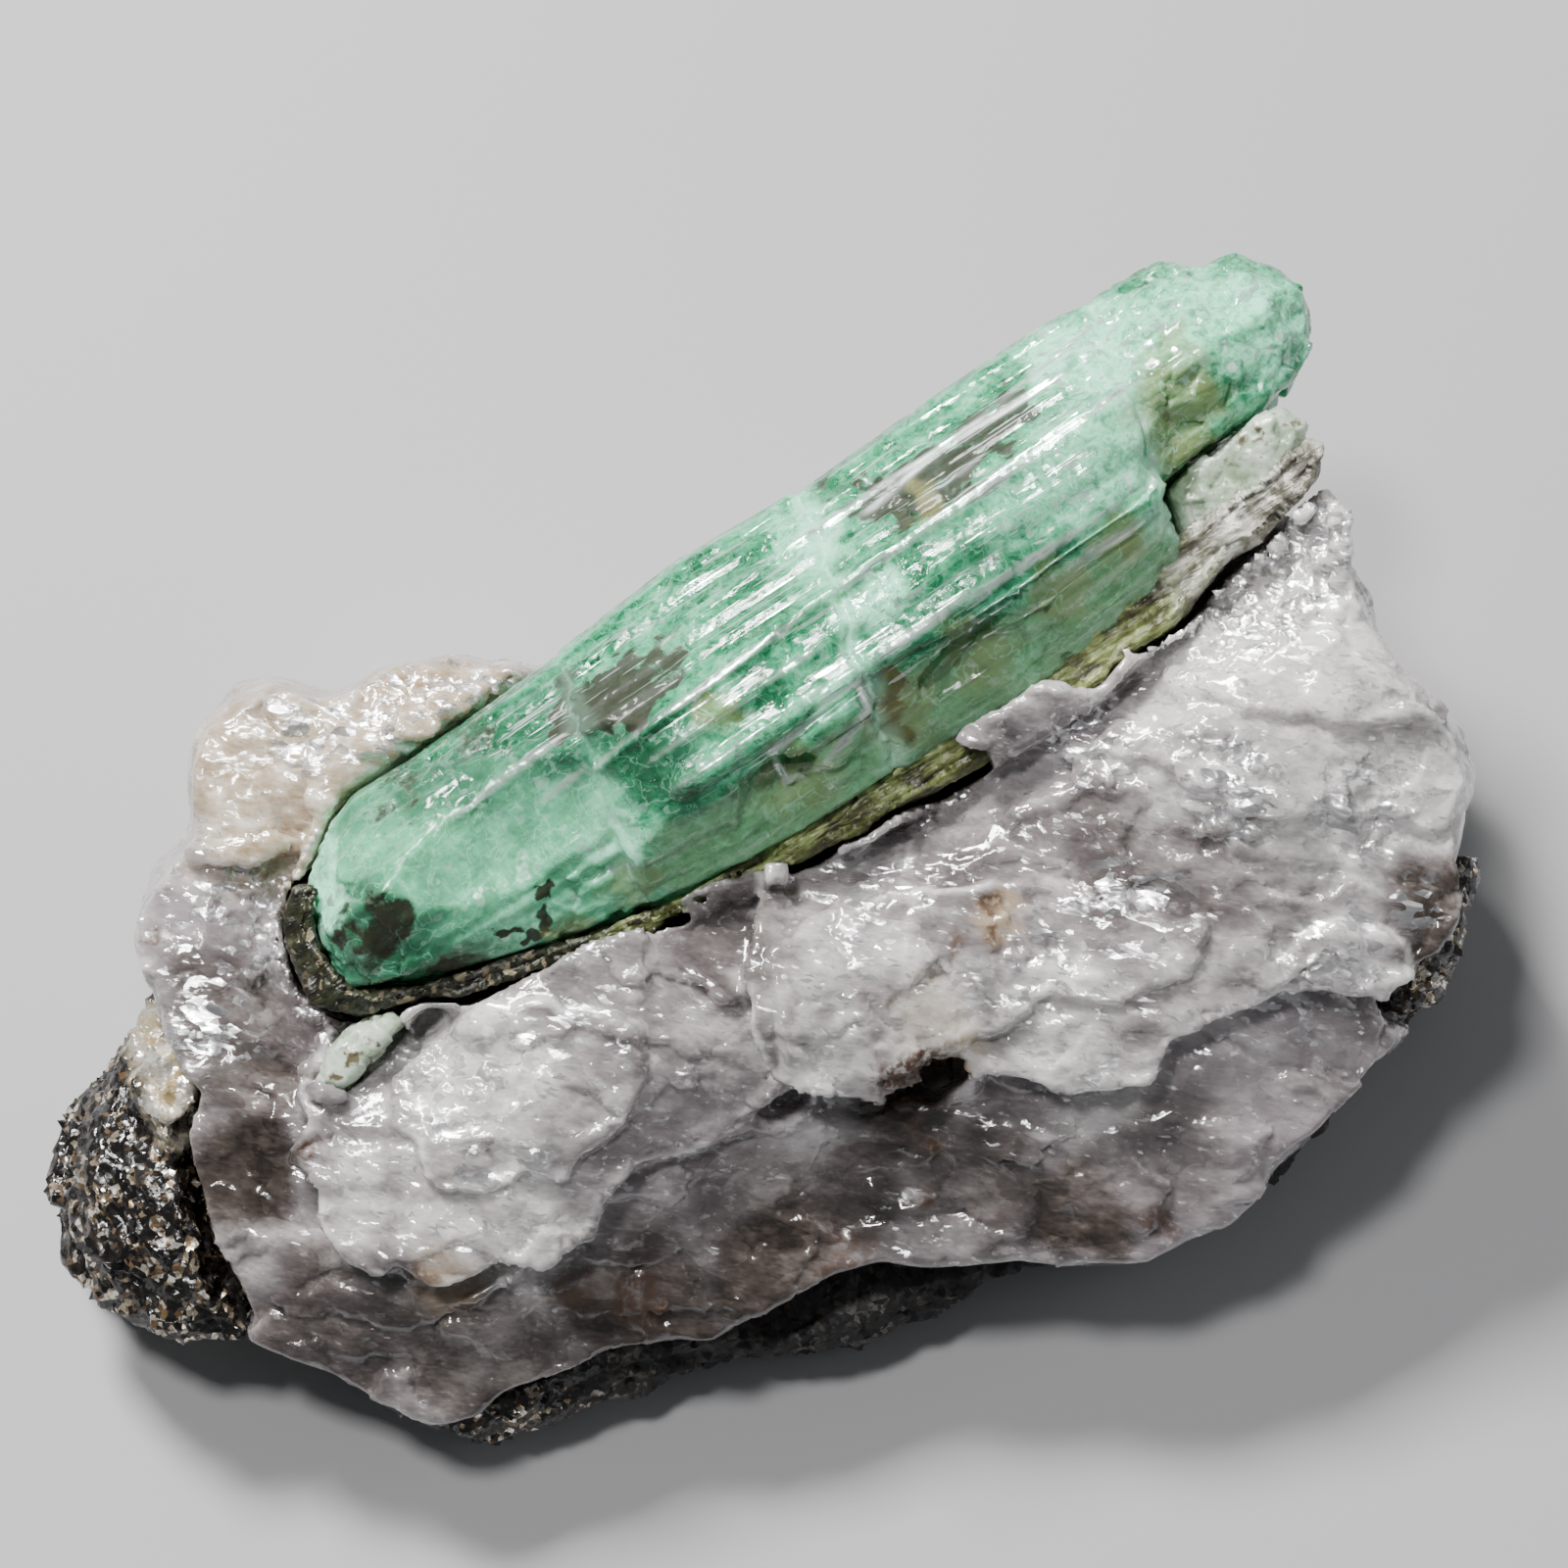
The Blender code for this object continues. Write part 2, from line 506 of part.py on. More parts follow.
def material(name, colour, roughness, transmission=0.0):
    made = bpy.data.materials.new(name)
    made.use_nodes = True
    shader = made.node_tree.nodes["Principled BSDF"]
    shader.inputs["Base Color"].default_value = (*colour, 1.0)
    shader.inputs["Roughness"].default_value = roughness
    shader.inputs["Transmission Weight"].default_value = transmission
    shader.inputs["IOR"].default_value = 1.57
    return made


def place_on_floor(parts):
    """Scales to metres, leans the specimen back, and centres it with its base at the height zero."""
    lean = Matrix.Rotation(math.radians(LEAN_DEG), 4, "X") @ Matrix.Scale(MM, 4)
    for part in parts:
        part.data.transform(lean)
    points = [vert.co for part in parts for vert in part.data.vertices]
    low = [min(point[axis] for point in points) for axis in range(3)]
    high = [max(point[axis] for point in points) for axis in range(3)]
    back = Vector((-(low[0] + high[0]) / 2, -(low[1] + high[1]) / 2, -low[2]))
    for part in parts:
        part.data.transform(Matrix.Translation(back))
        part.data.update()


def build():
    clear_scene()
    home = new_collection("emerald in matrix")
    emerald = emerald_crystal(home)
    beryl = small_crystal("pale_beryl_crystal", PALE_BERYL_OUTLINE, PALE_BERYL_LEVELS, (0.05, 0.1), home)
    sliver = small_crystal("emerald_sliver", SLIVER_OUTLINE, SLIVER_LEVELS, (0.1, 0.1), home)
    selvage = biotite_selvage(home)
    schist = biotite_schist(home)
    quartz = quartz_matrix(home)
    cut_clear_of(beryl, [emerald])
    reface(beryl, BERYL_VOXEL, BERYL_TRIANGLES)
    cut_clear_of(sliver, [emerald])
    cut_clear_of(selvage, [emerald, beryl, sliver])
    reface(selvage, SELVAGE_VOXEL, SELVAGE_TRIANGLES)
    cut_clear_of(schist, [emerald, selvage])
    cut_clear_of(quartz, [emerald, beryl, sliver, schist], gap=WIDE_GAP)
    cut_clear_of(quartz, [selvage], gap=SELVAGE_GAP)
    reface(quartz, QUARTZ_VOXEL * 0.75, QUARTZ_TRIANGLES)
    for part in (schist, quartz):
        trim_at_floor(part, home)
    parts = [quartz, schist, selvage, emerald, beryl, sliver]
    for part in parts:
        keep_largest(part)
    place_on_floor(parts)
    colours = [
        ("milky quartz", (0.58, 0.53, 0.52), 0.35, 0.0), ("biotite schist", (0.04, 0.037, 0.035), 0.4, 0.0),
        ("biotite flakes", (0.10, 0.075, 0.04), 0.45, 0.0), ("emerald", (0.18, 0.56, 0.34), 0.12, 0.6),
        ("pale beryl", (0.50, 0.62, 0.50), 0.2, 0.4), ("pale green beryl", (0.36, 0.50, 0.38), 0.2, 0.4),
    ]
    for part, (name, colour, roughness, transmission) in zip(parts, colours):
        part.data.materials.clear()
        part.data.materials.append(material(name, colour, roughness, transmission))


build()
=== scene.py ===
# %% [markdown]
# # Emerald in matrix
# A long emerald crystal lies across a lump of vein quartz, and the quartz still sits on the black mica schist
# that it grew against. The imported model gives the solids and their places. This lesson gives each mineral its
# skin: first fine relief in the mesh, then a finish made of shader nodes.

# %% Load the frame
import math

import bpy
import numpy as np
from mathutils import Matrix, Vector


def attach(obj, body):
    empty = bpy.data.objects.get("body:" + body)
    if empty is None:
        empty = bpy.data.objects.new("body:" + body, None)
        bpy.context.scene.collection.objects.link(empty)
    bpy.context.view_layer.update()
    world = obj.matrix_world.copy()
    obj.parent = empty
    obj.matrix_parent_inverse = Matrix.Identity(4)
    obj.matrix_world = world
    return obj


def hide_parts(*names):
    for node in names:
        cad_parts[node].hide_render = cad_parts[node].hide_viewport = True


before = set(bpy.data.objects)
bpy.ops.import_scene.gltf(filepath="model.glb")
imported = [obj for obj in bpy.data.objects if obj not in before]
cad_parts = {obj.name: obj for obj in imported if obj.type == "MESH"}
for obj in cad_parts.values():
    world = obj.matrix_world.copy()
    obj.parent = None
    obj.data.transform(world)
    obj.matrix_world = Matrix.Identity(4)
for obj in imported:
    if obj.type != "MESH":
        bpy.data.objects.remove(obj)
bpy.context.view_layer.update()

print("CAD nodes:", sorted(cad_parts))

# %% [markdown]
# ## The specimen's own frame
# Everything on the specimen is easiest to place as a person would who looks straight at the face that carries
# the crystal: u to the right, v up the face, w out of it, in millimetres. The specimen lies on its back and
# leans by 18 degrees, so one matrix turns its own frame into the shared one. The crystal has a frame too:
# s along the prism, t across it and d out of the face.

# %% Two frames and the ways between them
MM = 0.001
LEAN = math.radians(18.0)
ORIGIN = Vector((0.000214, 0.000185, 0.011603))
OWN_TO_FRAME = Matrix.Translation(ORIGIN) @ Matrix.Rotation(LEAN, 4, "X") @ Matrix.Scale(MM, 4)
PRISM_ORIGIN = np.array((0.7, 8.0, 3.8))
PRISM_TURN = math.radians(33.5)
FACE_GRID = Matrix.Rotation(-LEAN, 4, "X")
PRISM_GRID = Matrix.Rotation(-PRISM_TURN, 4, "Z") @ FACE_GRID


def matrix_parts(matrix):
    return np.array(matrix.to_3x3()), np.array(matrix.translation)


def to_frame(points):
    turn, shift = matrix_parts(OWN_TO_FRAME)
    return points @ turn.T + shift


def to_own(points):
    turn, shift = matrix_parts(OWN_TO_FRAME.inverted())
    return points @ turn.T + shift


PRISM_AXES = np.array((
    (math.cos(PRISM_TURN), math.sin(PRISM_TURN), 0.0),
    (math.sin(PRISM_TURN), -math.cos(PRISM_TURN), 0.0),
    (0.0, 0.0, 1.0),
))


def to_prism(points):
    return (points - PRISM_ORIGIN) @ PRISM_AXES.T


print("specimen origin in the frame:", tuple(ORIGIN))

# %% [markdown]
# ## Noise for stone
# Broken stone has two kinds of relief. One rolls and wavers, and smooth noise gives it. The other is made of
# flat faces that meet in sharp edges, and cells give it: each cell has its own tilted plane. Blender's noise
# takes one point at a time, so these two are written for whole arrays of points.

# %% Smooth noise and tilted cells
def lattice_random(cells, seed):
    """Three random numbers from 0 to 1 for each whole-number cell."""
    key = cells @ np.array((374761393, 668265263, 1442695041)) + seed * 974634777
    numbers = []
    for salt in (0x5BD1E995, 0x1B873593, 0x2C1B3C6D):
        n = (key ^ (key >> 15)) & 0x7FFFFFFF
        n = (n * salt) & 0x7FFFFFFFFFFF
        n = (n ^ (n >> 17)) & 0x7FFFFFFF
        n = (n * 0x297A2D39) & 0x7FFFFFFFFFFF
        numbers.append(((n >> 12) & 0xFFFFF) / 0xFFFFF)
    return np.stack(numbers, axis=-1)


def smooth_noise(points, size, seed):
    """Rolling noise from about -1 to 1, with lumps of this size."""
    scaled = points / size + 1000.0
    low = np.floor(scaled).astype(np.int64)
    part = scaled - low
    ease = part * part * (3.0 - 2.0 * part)
    total = np.zeros(len(points))
    for corner in np.ndindex(2, 2, 2):
        slope = lattice_random(low + corner, seed) * 2.0 - 1.0
        height = ((part - corner) * slope).sum(axis=1)
        share = np.where(corner, ease, 1.0 - ease).prod(axis=1)
        total += height * share
    return total * 1.6


def layered_noise(points, size, seed, layers=4):
    return sum(smooth_noise(points, size / 2 ** i, seed + i) / 2 ** i for i in range(layers))


def cells(points, size, seed):
    """Each point's distance and offset from its nearest cell centre, and the cell's random numbers."""
    scaled = points / size + 1000.0
    low = np.floor(scaled).astype(np.int64)
    near = np.full(len(points), np.inf)
    offset = np.zeros_like(points)
    chance = np.zeros_like(points)
    for step in np.ndindex(3, 3, 3):
        cell = low + step - 1
        random_place = lattice_random(cell, seed)
        away = scaled - cell - random_place
        distance = np.sqrt((away * away).sum(axis=1))
        closer = distance < near
        near = np.where(closer, distance, near)
        offset = np.where(closer[:, None], away, offset)
        chance = np.where(closer[:, None], random_place, chance)
    return near, offset, chance


def facets(points, size, seed):
    """Tilted planes that meet in sharp edges, about -1 to 1."""
    _, offset, chance = cells(points, size, seed)
    tilt = chance * 2.0 - 1.0
    return (offset * tilt).sum(axis=1) * 1.4 + (chance[:, 0] - 0.5) * 0.6


def rise(value, start, end):
    """0 below start, 1 above end, and a smooth slope between them."""
    part = np.clip((value - start) / (end - start), 0.0, 1.0)
    return part * part * (3.0 - 2.0 * part)


print("noise ready:", smooth_noise(np.zeros((1, 3)) + 0.3, 1.0, 1).round(3))

# %% [markdown]
# ## Meshes by operators
# Each mineral starts as a copy of its solid. The copy's loose triangles are merged, and a voxel remesh gives
# it an even, fine skin that relief can be pressed into. A Decimate at the end takes back the points that flat
# places don't need.

# %% Copying, remeshing and thinning
def select_only(piece):
    for other in list(bpy.context.selected_objects):
        other.select_set(False)
    bpy.context.view_layer.objects.active = piece
    piece.select_set(True)


def apply_modifier(piece, kind, **settings):
    select_only(piece)
    step = piece.modifiers.new(kind, kind)
    for name, value in settings.items():
        setattr(step, name, value)
    bpy.ops.object.modifier_apply(modifier=step.name)


def merge_close(piece, distance=1e-6):
    select_only(piece)
    bpy.ops.object.mode_set(mode="EDIT")
    bpy.ops.mesh.select_all(action="SELECT")
    bpy.ops.mesh.remove_doubles(threshold=distance)
    bpy.ops.object.mode_set(mode="OBJECT")


def copy_of_node(node, name):
    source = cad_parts[node]
    piece = bpy.data.objects.new(name, source.data.copy())
    bpy.context.scene.collection.objects.link(piece)
    piece.data.name = name
    piece.data.materials.clear()
    merge_close(piece)
    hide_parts(node)
    return piece


def remesh(piece, voxel, smoothing, turn=Matrix.Identity(4)):
    """A voxel remesh whose grid can be turned, so that its rows run along the piece's own steps."""
    piece.data.transform(turn)
    apply_modifier(piece, "REMESH", mode="VOXEL", voxel_size=voxel * MM)
    piece.data.transform(turn.inverted())
    apply_modifier(piece, "SMOOTH", factor=0.5, iterations=smoothing)


def thin_out(piece, triangles):
    apply_modifier(piece, "TRIANGULATE", min_vertices=4)
    now = len(piece.data.polygons)
    if now > triangles:
        apply_modifier(piece, "DECIMATE", ratio=triangles / now)
    piece.data.validate()


def read_points(piece):
    """The points and normals of a piece, in the specimen's own frame."""
    mesh = piece.data
    points = np.empty(len(mesh.vertices) * 3, np.float32)
    normals = np.empty(len(mesh.vertices) * 3, np.float32)
    mesh.vertices.foreach_get("co", points)
    mesh.vertex_normals.foreach_get("vector", normals)
    turn, _ = matrix_parts(OWN_TO_FRAME.inverted())
    out = normals.reshape(-1, 3).astype(float) @ (turn * MM).T
    return to_own(points.reshape(-1, 3).astype(float)), out


def write_points(piece, points):
    """Puts the points back in the shared frame, and none of them under the floor."""
    placed = to_frame(points)
    placed[:, 2] = np.maximum(placed[:, 2], 0.0)
    piece.data.vertices.foreach_set("co", placed.astype(np.float32).ravel())
    piece.data.update()


def press(piece, *reliefs):
    """Moves each point along its normal by the sum of the reliefs, functions that give millimetres."""
    points, normals = read_points(piece)
    height = sum(relief(points, normals) for relief in reliefs)
    write_points(piece, points + normals * height[:, None])


def paint(piece, name, values):
    """Stores one number for each point, for the finish to read."""
    layer = piece.data.attributes.new(name, "FLOAT", "POINT")
    layer.data.foreach_set("value", np.clip(values, 0.0, 1.0).astype(np.float32))


def smooth_shade(piece):
    select_only(piece)
    bpy.ops.object.shade_smooth()


def report(piece):
    print(piece.name, len(piece.data.vertices), "points,", len(piece.data.polygons), "faces")


# %% [markdown]
# ## Outlines on the face
# The quartz broke in sheets, and each sheet ends in a low cliff. A cliff is an outline in u and v with a
# height. Two sums tell how far inside an outline a point lies, and the smooth step across that line is the
# cliff. Spots, such as a stain or a smoky patch, are a centre and a radius, with edges that noise frays.

# %% Distance inside an outline, and spots
def inside(points, outline):
    """How far each point lies inside an outline, in millimetres: negative outside it."""
    u, v = points[:, 0], points[:, 1]
    nearest = np.full(len(points), np.inf)
    odd = np.zeros(len(points), bool)
    for (au, av), (bu, bv) in zip(outline, outline[1:] + outline[:1]):
        du, dv = bu - au, bv - av
        along = np.clip(((u - au) * du + (v - av) * dv) / (du * du + dv * dv), 0.0, 1.0)
        nearest = np.minimum(nearest, np.hypot(u - au - along * du, v - av - along * dv))
        if av != bv:
            odd ^= ((av > v) != (bv > v)) & (u < au + (v - av) * du / dv)
    return np.where(odd, nearest, -nearest)


def frayed(points, size, amount, seed):
    """Points moved sideways by noise, so that an outline read at them is ragged."""
    moved = points.copy()
    for axis in (0, 1):
        moved[:, axis] += amount * layered_noise(points, size, seed + 10 * axis, 3)
    return moved


def facing_out(normals):
    return rise(normals[:, 2], 0.1, 0.55)


def spots(points, places, fray=0.9, size=1.8, seed=5):
    """The strongest of several round spots (u, v, radius, strength) at each point, with frayed edges."""
    moved = frayed(points, size, fray, seed)
    strongest = np.zeros(len(points))
    for u, v, radius, strength in places:
        away = np.hypot(moved[:, 0] - u, moved[:, 1] - v) / radius
        strongest = np.maximum(strongest, strength * (1.0 - rise(away, 0.55, 1.15)))
    return strongest


# %% [markdown]
# ## Shader maths as Python
# A finish is a graph of nodes, and most of them are sums. This small class wraps an output socket, so that
# a sum such as 1 - mask * 0.5 can be typed as it reads, and each operator adds its Math node. Every other
# node comes from one method, which takes the node's type, its settings and its inputs.

# %% A socket that can be added and multiplied
class Value:
    def __init__(self, finish, socket):
        self.finish = finish
        self.socket = socket

    def maths(self, operation, first, second):
        return self.finish.node("Math", {"operation": operation}, {0: first, 1: second})

    def __add__(self, other):
        return self.maths("ADD", self, other)

    def __sub__(self, other):
        return self.maths("SUBTRACT", self, other)

    def __mul__(self, other):
        return self.maths("MULTIPLY", self, other)

    def __radd__(self, other):
        return self.maths("ADD", other, self)

    def __rsub__(self, other):
        return self.maths("SUBTRACT", other, self)

    def __rmul__(self, other):
        return self.maths("MULTIPLY", other, self)

    def above(self, edge, softness=0.05):
        """0 below the edge and 1 above it."""
        return self.finish.node("MapRange", {"interpolation_type": "SMOOTHSTEP"}, {
            "Value": self, "From Min": edge - softness, "From Max": edge + softness})


class Finish:
    """One material, built node by node. Sizes are in millimetres."""

    def __init__(self, name):
        self.material = bpy.data.materials.new(name)
        self.material.use_nodes = True
        self.tree = self.material.node_tree
        self.tree.nodes.clear()
        self.output = self.tree.nodes.new("ShaderNodeOutputMaterial")
        self.place = self.node("TexCoord", output="Object")

    def node(self, kind, settings=None, inputs=None, output=0):
        made = self.tree.nodes.new("ShaderNode" + kind)
        for name, value in (settings or {}).items():
            if name == "stops":
                self.set_stops(made.color_ramp, value)
            else:
                setattr(made, name, value)
        for name, value in (inputs or {}).items():
            if isinstance(value, Value):
                self.tree.links.new(value.socket, made.inputs[name])
            else:
                made.inputs[name].default_value = value
        return Value(self, made.outputs[output])

    def set_stops(self, ramp, stops):
        while len(ramp.elements) < len(stops):
            ramp.elements.new(0.5)
        for element, (position, colour) in zip(ramp.elements, stops):
            element.position = position
            element.color = (*colour, 1.0)

    def noise(self, size, detail=4.0, roughness=0.55, distortion=0.0, place=None):
        return self.node("TexNoise", None, {
            "Vector": place or self.place, "Scale": 1.0 / (size * MM), "Detail": detail,
            "Roughness": roughness, "Distortion": distortion})

    def stretched(self, turn, scale):
        """Object coordinates turned and squeezed, for a pattern that runs one way."""
        return self.node("Mapping", {"vector_type": "TEXTURE"}, {
            "Vector": self.place, "Rotation": turn, "Scale": scale})

    def along_prism(self, stretch):
        """Object coordinates in the crystal's own directions, stretched along it."""
        upright = self.node(
            "VectorRotate", {"rotation_type": "X_AXIS"}, {"Vector": self.place, "Angle": -LEAN})
        return self.node("Mapping", {"vector_type": "TEXTURE"}, {
            "Vector": upright, "Rotation": (0.0, 0.0, PRISM_TURN), "Scale": (stretch, 1.0, 1.0)})

    def warped(self, size, reach, place=None):
        """Coordinates pushed about by noise of this size, by up to the reach, for ragged shapes."""
        noise = self.node("TexNoise", None, {
            "Vector": place or self.place, "Scale": 1.0 / (size * MM), "Detail": 0.0}, "Color")
        push = self.node("VectorMath", {"operation": "SUBTRACT"}, {0: noise, 1: (0.5, 0.5, 0.5)})
        push = self.node("VectorMath", {"operation": "SCALE"}, {0: push, "Scale": 2.0 * reach * MM})
        return self.node("VectorMath", {"operation": "ADD"}, {0: place or self.place, 1: push})

    def flakes(self, size, place=None):
        """Cells of this size: their random colour, and a plane through each cell with a tilt of its own."""
        where = place or self.place
        scaled = self.node("VectorMath", {"operation": "SCALE"}, {0: where, "Scale": 1.0 / (size * MM)})
        colour = self.node("TexVoronoi", None, {"Vector": scaled, "Scale": 1.0}, "Color")
        centre = self.node("TexVoronoi", None, {"Vector": scaled, "Scale": 1.0}, "Position")
        offset = self.node("VectorMath", {"operation": "SUBTRACT"}, {0: scaled, 1: centre})
        tilt = self.node("VectorMath", {"operation": "SUBTRACT"}, {0: colour, 1: (0.5, 0.5, 0.5)})
        plane = self.node("VectorMath", {"operation": "DOT_PRODUCT"}, {0: offset, 1: tilt}, "Value")
        chance = self.node("SeparateColor", None, {"Color": colour}, "Red")
        return chance, plane

    def wisps(self, size, width=0.012):
        """Thin curling lines, 1 on the line, where noise of this size passes its middle value."""
        level = self.noise(size, 3.0, 0.5, 0.6)
        away = self.node("Math", {"operation": "ABSOLUTE"}, {0: level - 0.5})
        return 1 - away.above(width, width)

    def largest(self, first, *others):
        for other in others:
            first = first.maths("MAXIMUM", first, other)
        return first

    def attribute(self, name):
        return self.node("Attribute", {"attribute_name": name}, None, "Fac")

    def ramp(self, value, stops):
        return self.node("ValToRGB", {"stops": stops}, {"Fac": value})

    def mix(self, share, first, second):
        """First colour where share is 0, second where it is 1."""
        colours = [c if isinstance(c, Value) else (*c, 1.0) for c in (first, second)]
        return self.node("Mix", {"data_type": "RGBA"}, {0: share, 6: colours[0], 7: colours[1]}, 2)

    def bump(self, height):
        """A normal from a height in millimetres."""
        return self.node("Bump", None, {"Height": height, "Distance": MM})

    def shader(self, **inputs):
        """A Principled shader: an underscore in a name stands for a space."""
        return self.node("BsdfPrincipled", None, {name.replace("_", " "): v for name, v in inputs.items()})

    def blend(self, share, first, second):
        return self.node("MixShader", None, {0: share, 1: first, 2: second})

    def show(self, surface, volume=None):
        self.tree.links.new(surface.socket, self.output.inputs["Surface"])
        if volume:
            self.tree.links.new(volume.socket, self.output.inputs["Volume"])
        return self.material


def give(piece, material):
    piece.data.materials.append(material)
    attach(piece, "root")
    report(piece)


# %% [markdown]
# ## Quartz relief
# The quartz is one mass that broke in sheets. Its solid already has the sheets, softened by its facets, so
# the copy is smoothed and then the cliffs are pressed back in sharply at the same outlines. Finer faces,
# about a millimetre across, give the sugary places, and low rolling noise gives the glassy ones.

# %% Where the sheets end
MIDDLE_SLAB = [
    (1.0, 3.5), (0.4, 1.0), (-0.1, -1.5), (-0.7, -3.3), (-0.8, -5.1), (-0.4, -6.5), (0.4, -8.3),
    (2.2, -9.0), (3.6, -8.7), (4.5, -8.0), (5.5, -7.5), (7.1, -7.3), (8.0, -7.9), (10.2, -8.3),
    (11.6, -8.8), (14.3, -8.5), (14.9, -6.9), (18.9, -5.2), (24.0, -4.9), (27.4, -2.5), (27.8, 0.0),
    (28.2, 2.5), (26.3, 5.5), (24.5, 9.0), (21.1, 12.6), (16.7, 13.0), (11.1, 10.4), (4.4, 6.5),
]
UPPER_STEP = [
    (6.8, 4.2), (9.0, 3.6), (12.0, 3.6), (14.6, 3.2), (17.0, 1.9), (18.4, 1.2), (20.5, 1.6),
    (22.6, 1.3), (24.8, 1.0), (25.9, 2.6), (25.2, 4.6), (23.0, 6.2), (20.6, 8.4), (16.0, 8.6),
    (12.0, 7.2), (8.8, 5.2),
]
LOWER_STEP = [
    (0.3, -4.0), (3.0, -1.8), (7.0, -1.2), (10.5, -1.0), (13.5, -2.3), (16.5, -2.7), (15.5, -4.6),
    (13.0, -5.4), (10.6, -5.2), (8.6, -6.4), (5.6, -7.2), (3.2, -8.4), (0.9, -7.9),
]
LEFT_SLAB = [
    (-16.5, -7.1), (-17.2, -8.7), (-17.0, -10.2), (-17.5, -11.5), (-16.6, -12.0), (-16.4, -13.5),
    (-15.8, -14.8), (-13.9, -15.7), (-13.4, -15.2), (-12.9, -15.9), (-11.9, -16.2), (-10.1, -15.1),
    (-8.3, -15.2), (-7.7, -14.6), (-6.5, -13.8), (-6.0, -12.5), (-5.1, -11.6), (-2.2, -11.1),
    (1.5, -9.8), (5.0, -6.0), (6.0, 6.0), (-1.5, 5.0), (-5.1, 2.5), (-8.0, 0.6),
    (-10.9, -1.0), (-13.8, -3.2),
]
INNER_STEP = [
    (-13.7, -8.8), (-13.8, -10.2), (-12.7, -10.6), (-12.4, -11.8), (-11.8, -12.4), (-10.2, -12.2),
    (-9.1, -11.6), (-7.9, -11.8), (-6.2, -10.7), (-4.4, -8.7), (-4.2, -6.5), (-8.0, -5.2),
    (-12.0, -6.4),
]
RIGHT_LENS = [
    (19.0, -3.7), (19.9, -2.8), (21.1, -2.4), (22.6, -2.8), (23.7, -3.8), (24.1, -4.8), (22.5, -5.1),
    (20.7, -4.8), (19.3, -4.4),
]
UPPER_RIGHT = [
    (13.9, 8.8), (15.0, 6.5), (17.5, 5.3), (20.7, 4.6), (24.0, 4.6), (26.1, 5.6), (24.9, 7.3),
    (23.9, 8.6), (23.3, 10.0), (22.5, 11.6), (21.9, 13.2), (21.5, 14.3), (19.8, 14.7), (18.8, 12.3),
    (16.9, 10.2),
]
TAN_BLOCK = [
    (-21.4, -0.3), (-19.0, -0.5), (-17.0, 0.2), (-15.8, 1.6), (-12.5, 3.8), (-8.6, 6.0), (-7.0, 8.0),
    (-14.0, 9.0), (-22.5, 5.5), (-23.0, 1.0),
]
CLIFFS = [
    (TAN_BLOCK, 0.4, 1.2), (LEFT_SLAB, 0.9, 2.6), (INNER_STEP, 0.25, 1.5), (MIDDLE_SLAB, 0.85, 2.6),
    (UPPER_STEP, 0.22, 1.5), (LOWER_STEP, 0.25, 1.5), (RIGHT_LENS, 0.25, 1.2), (UPPER_RIGHT, 0.25, 1.5),
]
CLIFF_WIDTH = 0.10
SUGARY = [
    (17.0, 10.0, 3.5, 1.0), (20.5, 11.0, 3.5, 1.0), (17.0, 2.6, 2.4, 0.9), (21.8, 1.9, 2.2, 0.9),
    (-14.0, 5.2, 2.5, 1.0), (-10.5, 6.0, 2.5, 1.0), (-19.6, -1.8, 1.6, 0.8), (-18.4, -3.6, 1.6, 0.7),
    (12.0, 4.2, 1.8, 0.7), (10.0, -4.2, 1.8, 0.5), (-11.6, -9.0, 2.0, 0.4),
]
QUARTZ_VOXEL = 0.155
QUARTZ_TRIANGLES = 196_000
MAP_CELL = 0.5
MAP_LOW = np.array((-40.0, -40.0))
MAP_CELLS = 160
MAP_BLUR = 2.0
MAP_REACH = 14
NO_HEIGHT = -99.0


def height_map(points, counted):
    """The face's height over a grid in u and v, blurred, and made only from the points that are counted."""
    place = np.floor((points[:, :2] - MAP_LOW) / MAP_CELL).astype(int)
    heights = np.full((MAP_CELLS, MAP_CELLS), NO_HEIGHT)
    np.maximum.at(heights, tuple(place[counted].T), points[counted, 2])
    known = (heights > NO_HEIGHT).astype(float)
    heights = heights * known
    reach = np.arange(-MAP_REACH, MAP_REACH + 1) * MAP_CELL
    kernel = np.exp(-0.5 * (reach / MAP_BLUR) ** 2)
    for axis in (0, 1):
        known = np.apply_along_axis(np.convolve, axis, known, kernel, "same")
        heights = np.apply_along_axis(np.convolve, axis, heights, kernel, "same")
    return heights / np.maximum(known, 1e-6)


def read_map(heights, points):
    spot = (points[:, :2] - MAP_LOW) / MAP_CELL - 0.5
    low = np.floor(spot).astype(int)
    part = spot - low
    total = np.zeros(len(points))
    for du, dv in np.ndindex(2, 2):
        share = np.where(du, part[:, 0], 1.0 - part[:, 0]) * np.where(dv, part[:, 1], 1.0 - part[:, 1])
        total += share * heights[low[:, 0] + du, low[:, 1] + dv]
    return total


# %% The quartz itself
quartz = copy_of_node("quartz_matrix", "quartz")
remesh(quartz, QUARTZ_VOXEL * 1.3, 8, FACE_GRID)


def outside_bed(points, margin=0.0, fade=0.8):
    """1 away from the bed that the crystal lies in: it starts at the margin and is whole after the fade."""
    local = to_prism(points)
    along = np.abs(local[:, 0] - 1.0) - 17.5
    away = np.maximum(np.maximum(local[:, 1] - 4.9, -local[:, 1] - 4.6), along)
    return rise(away - margin, 0.0, fade)


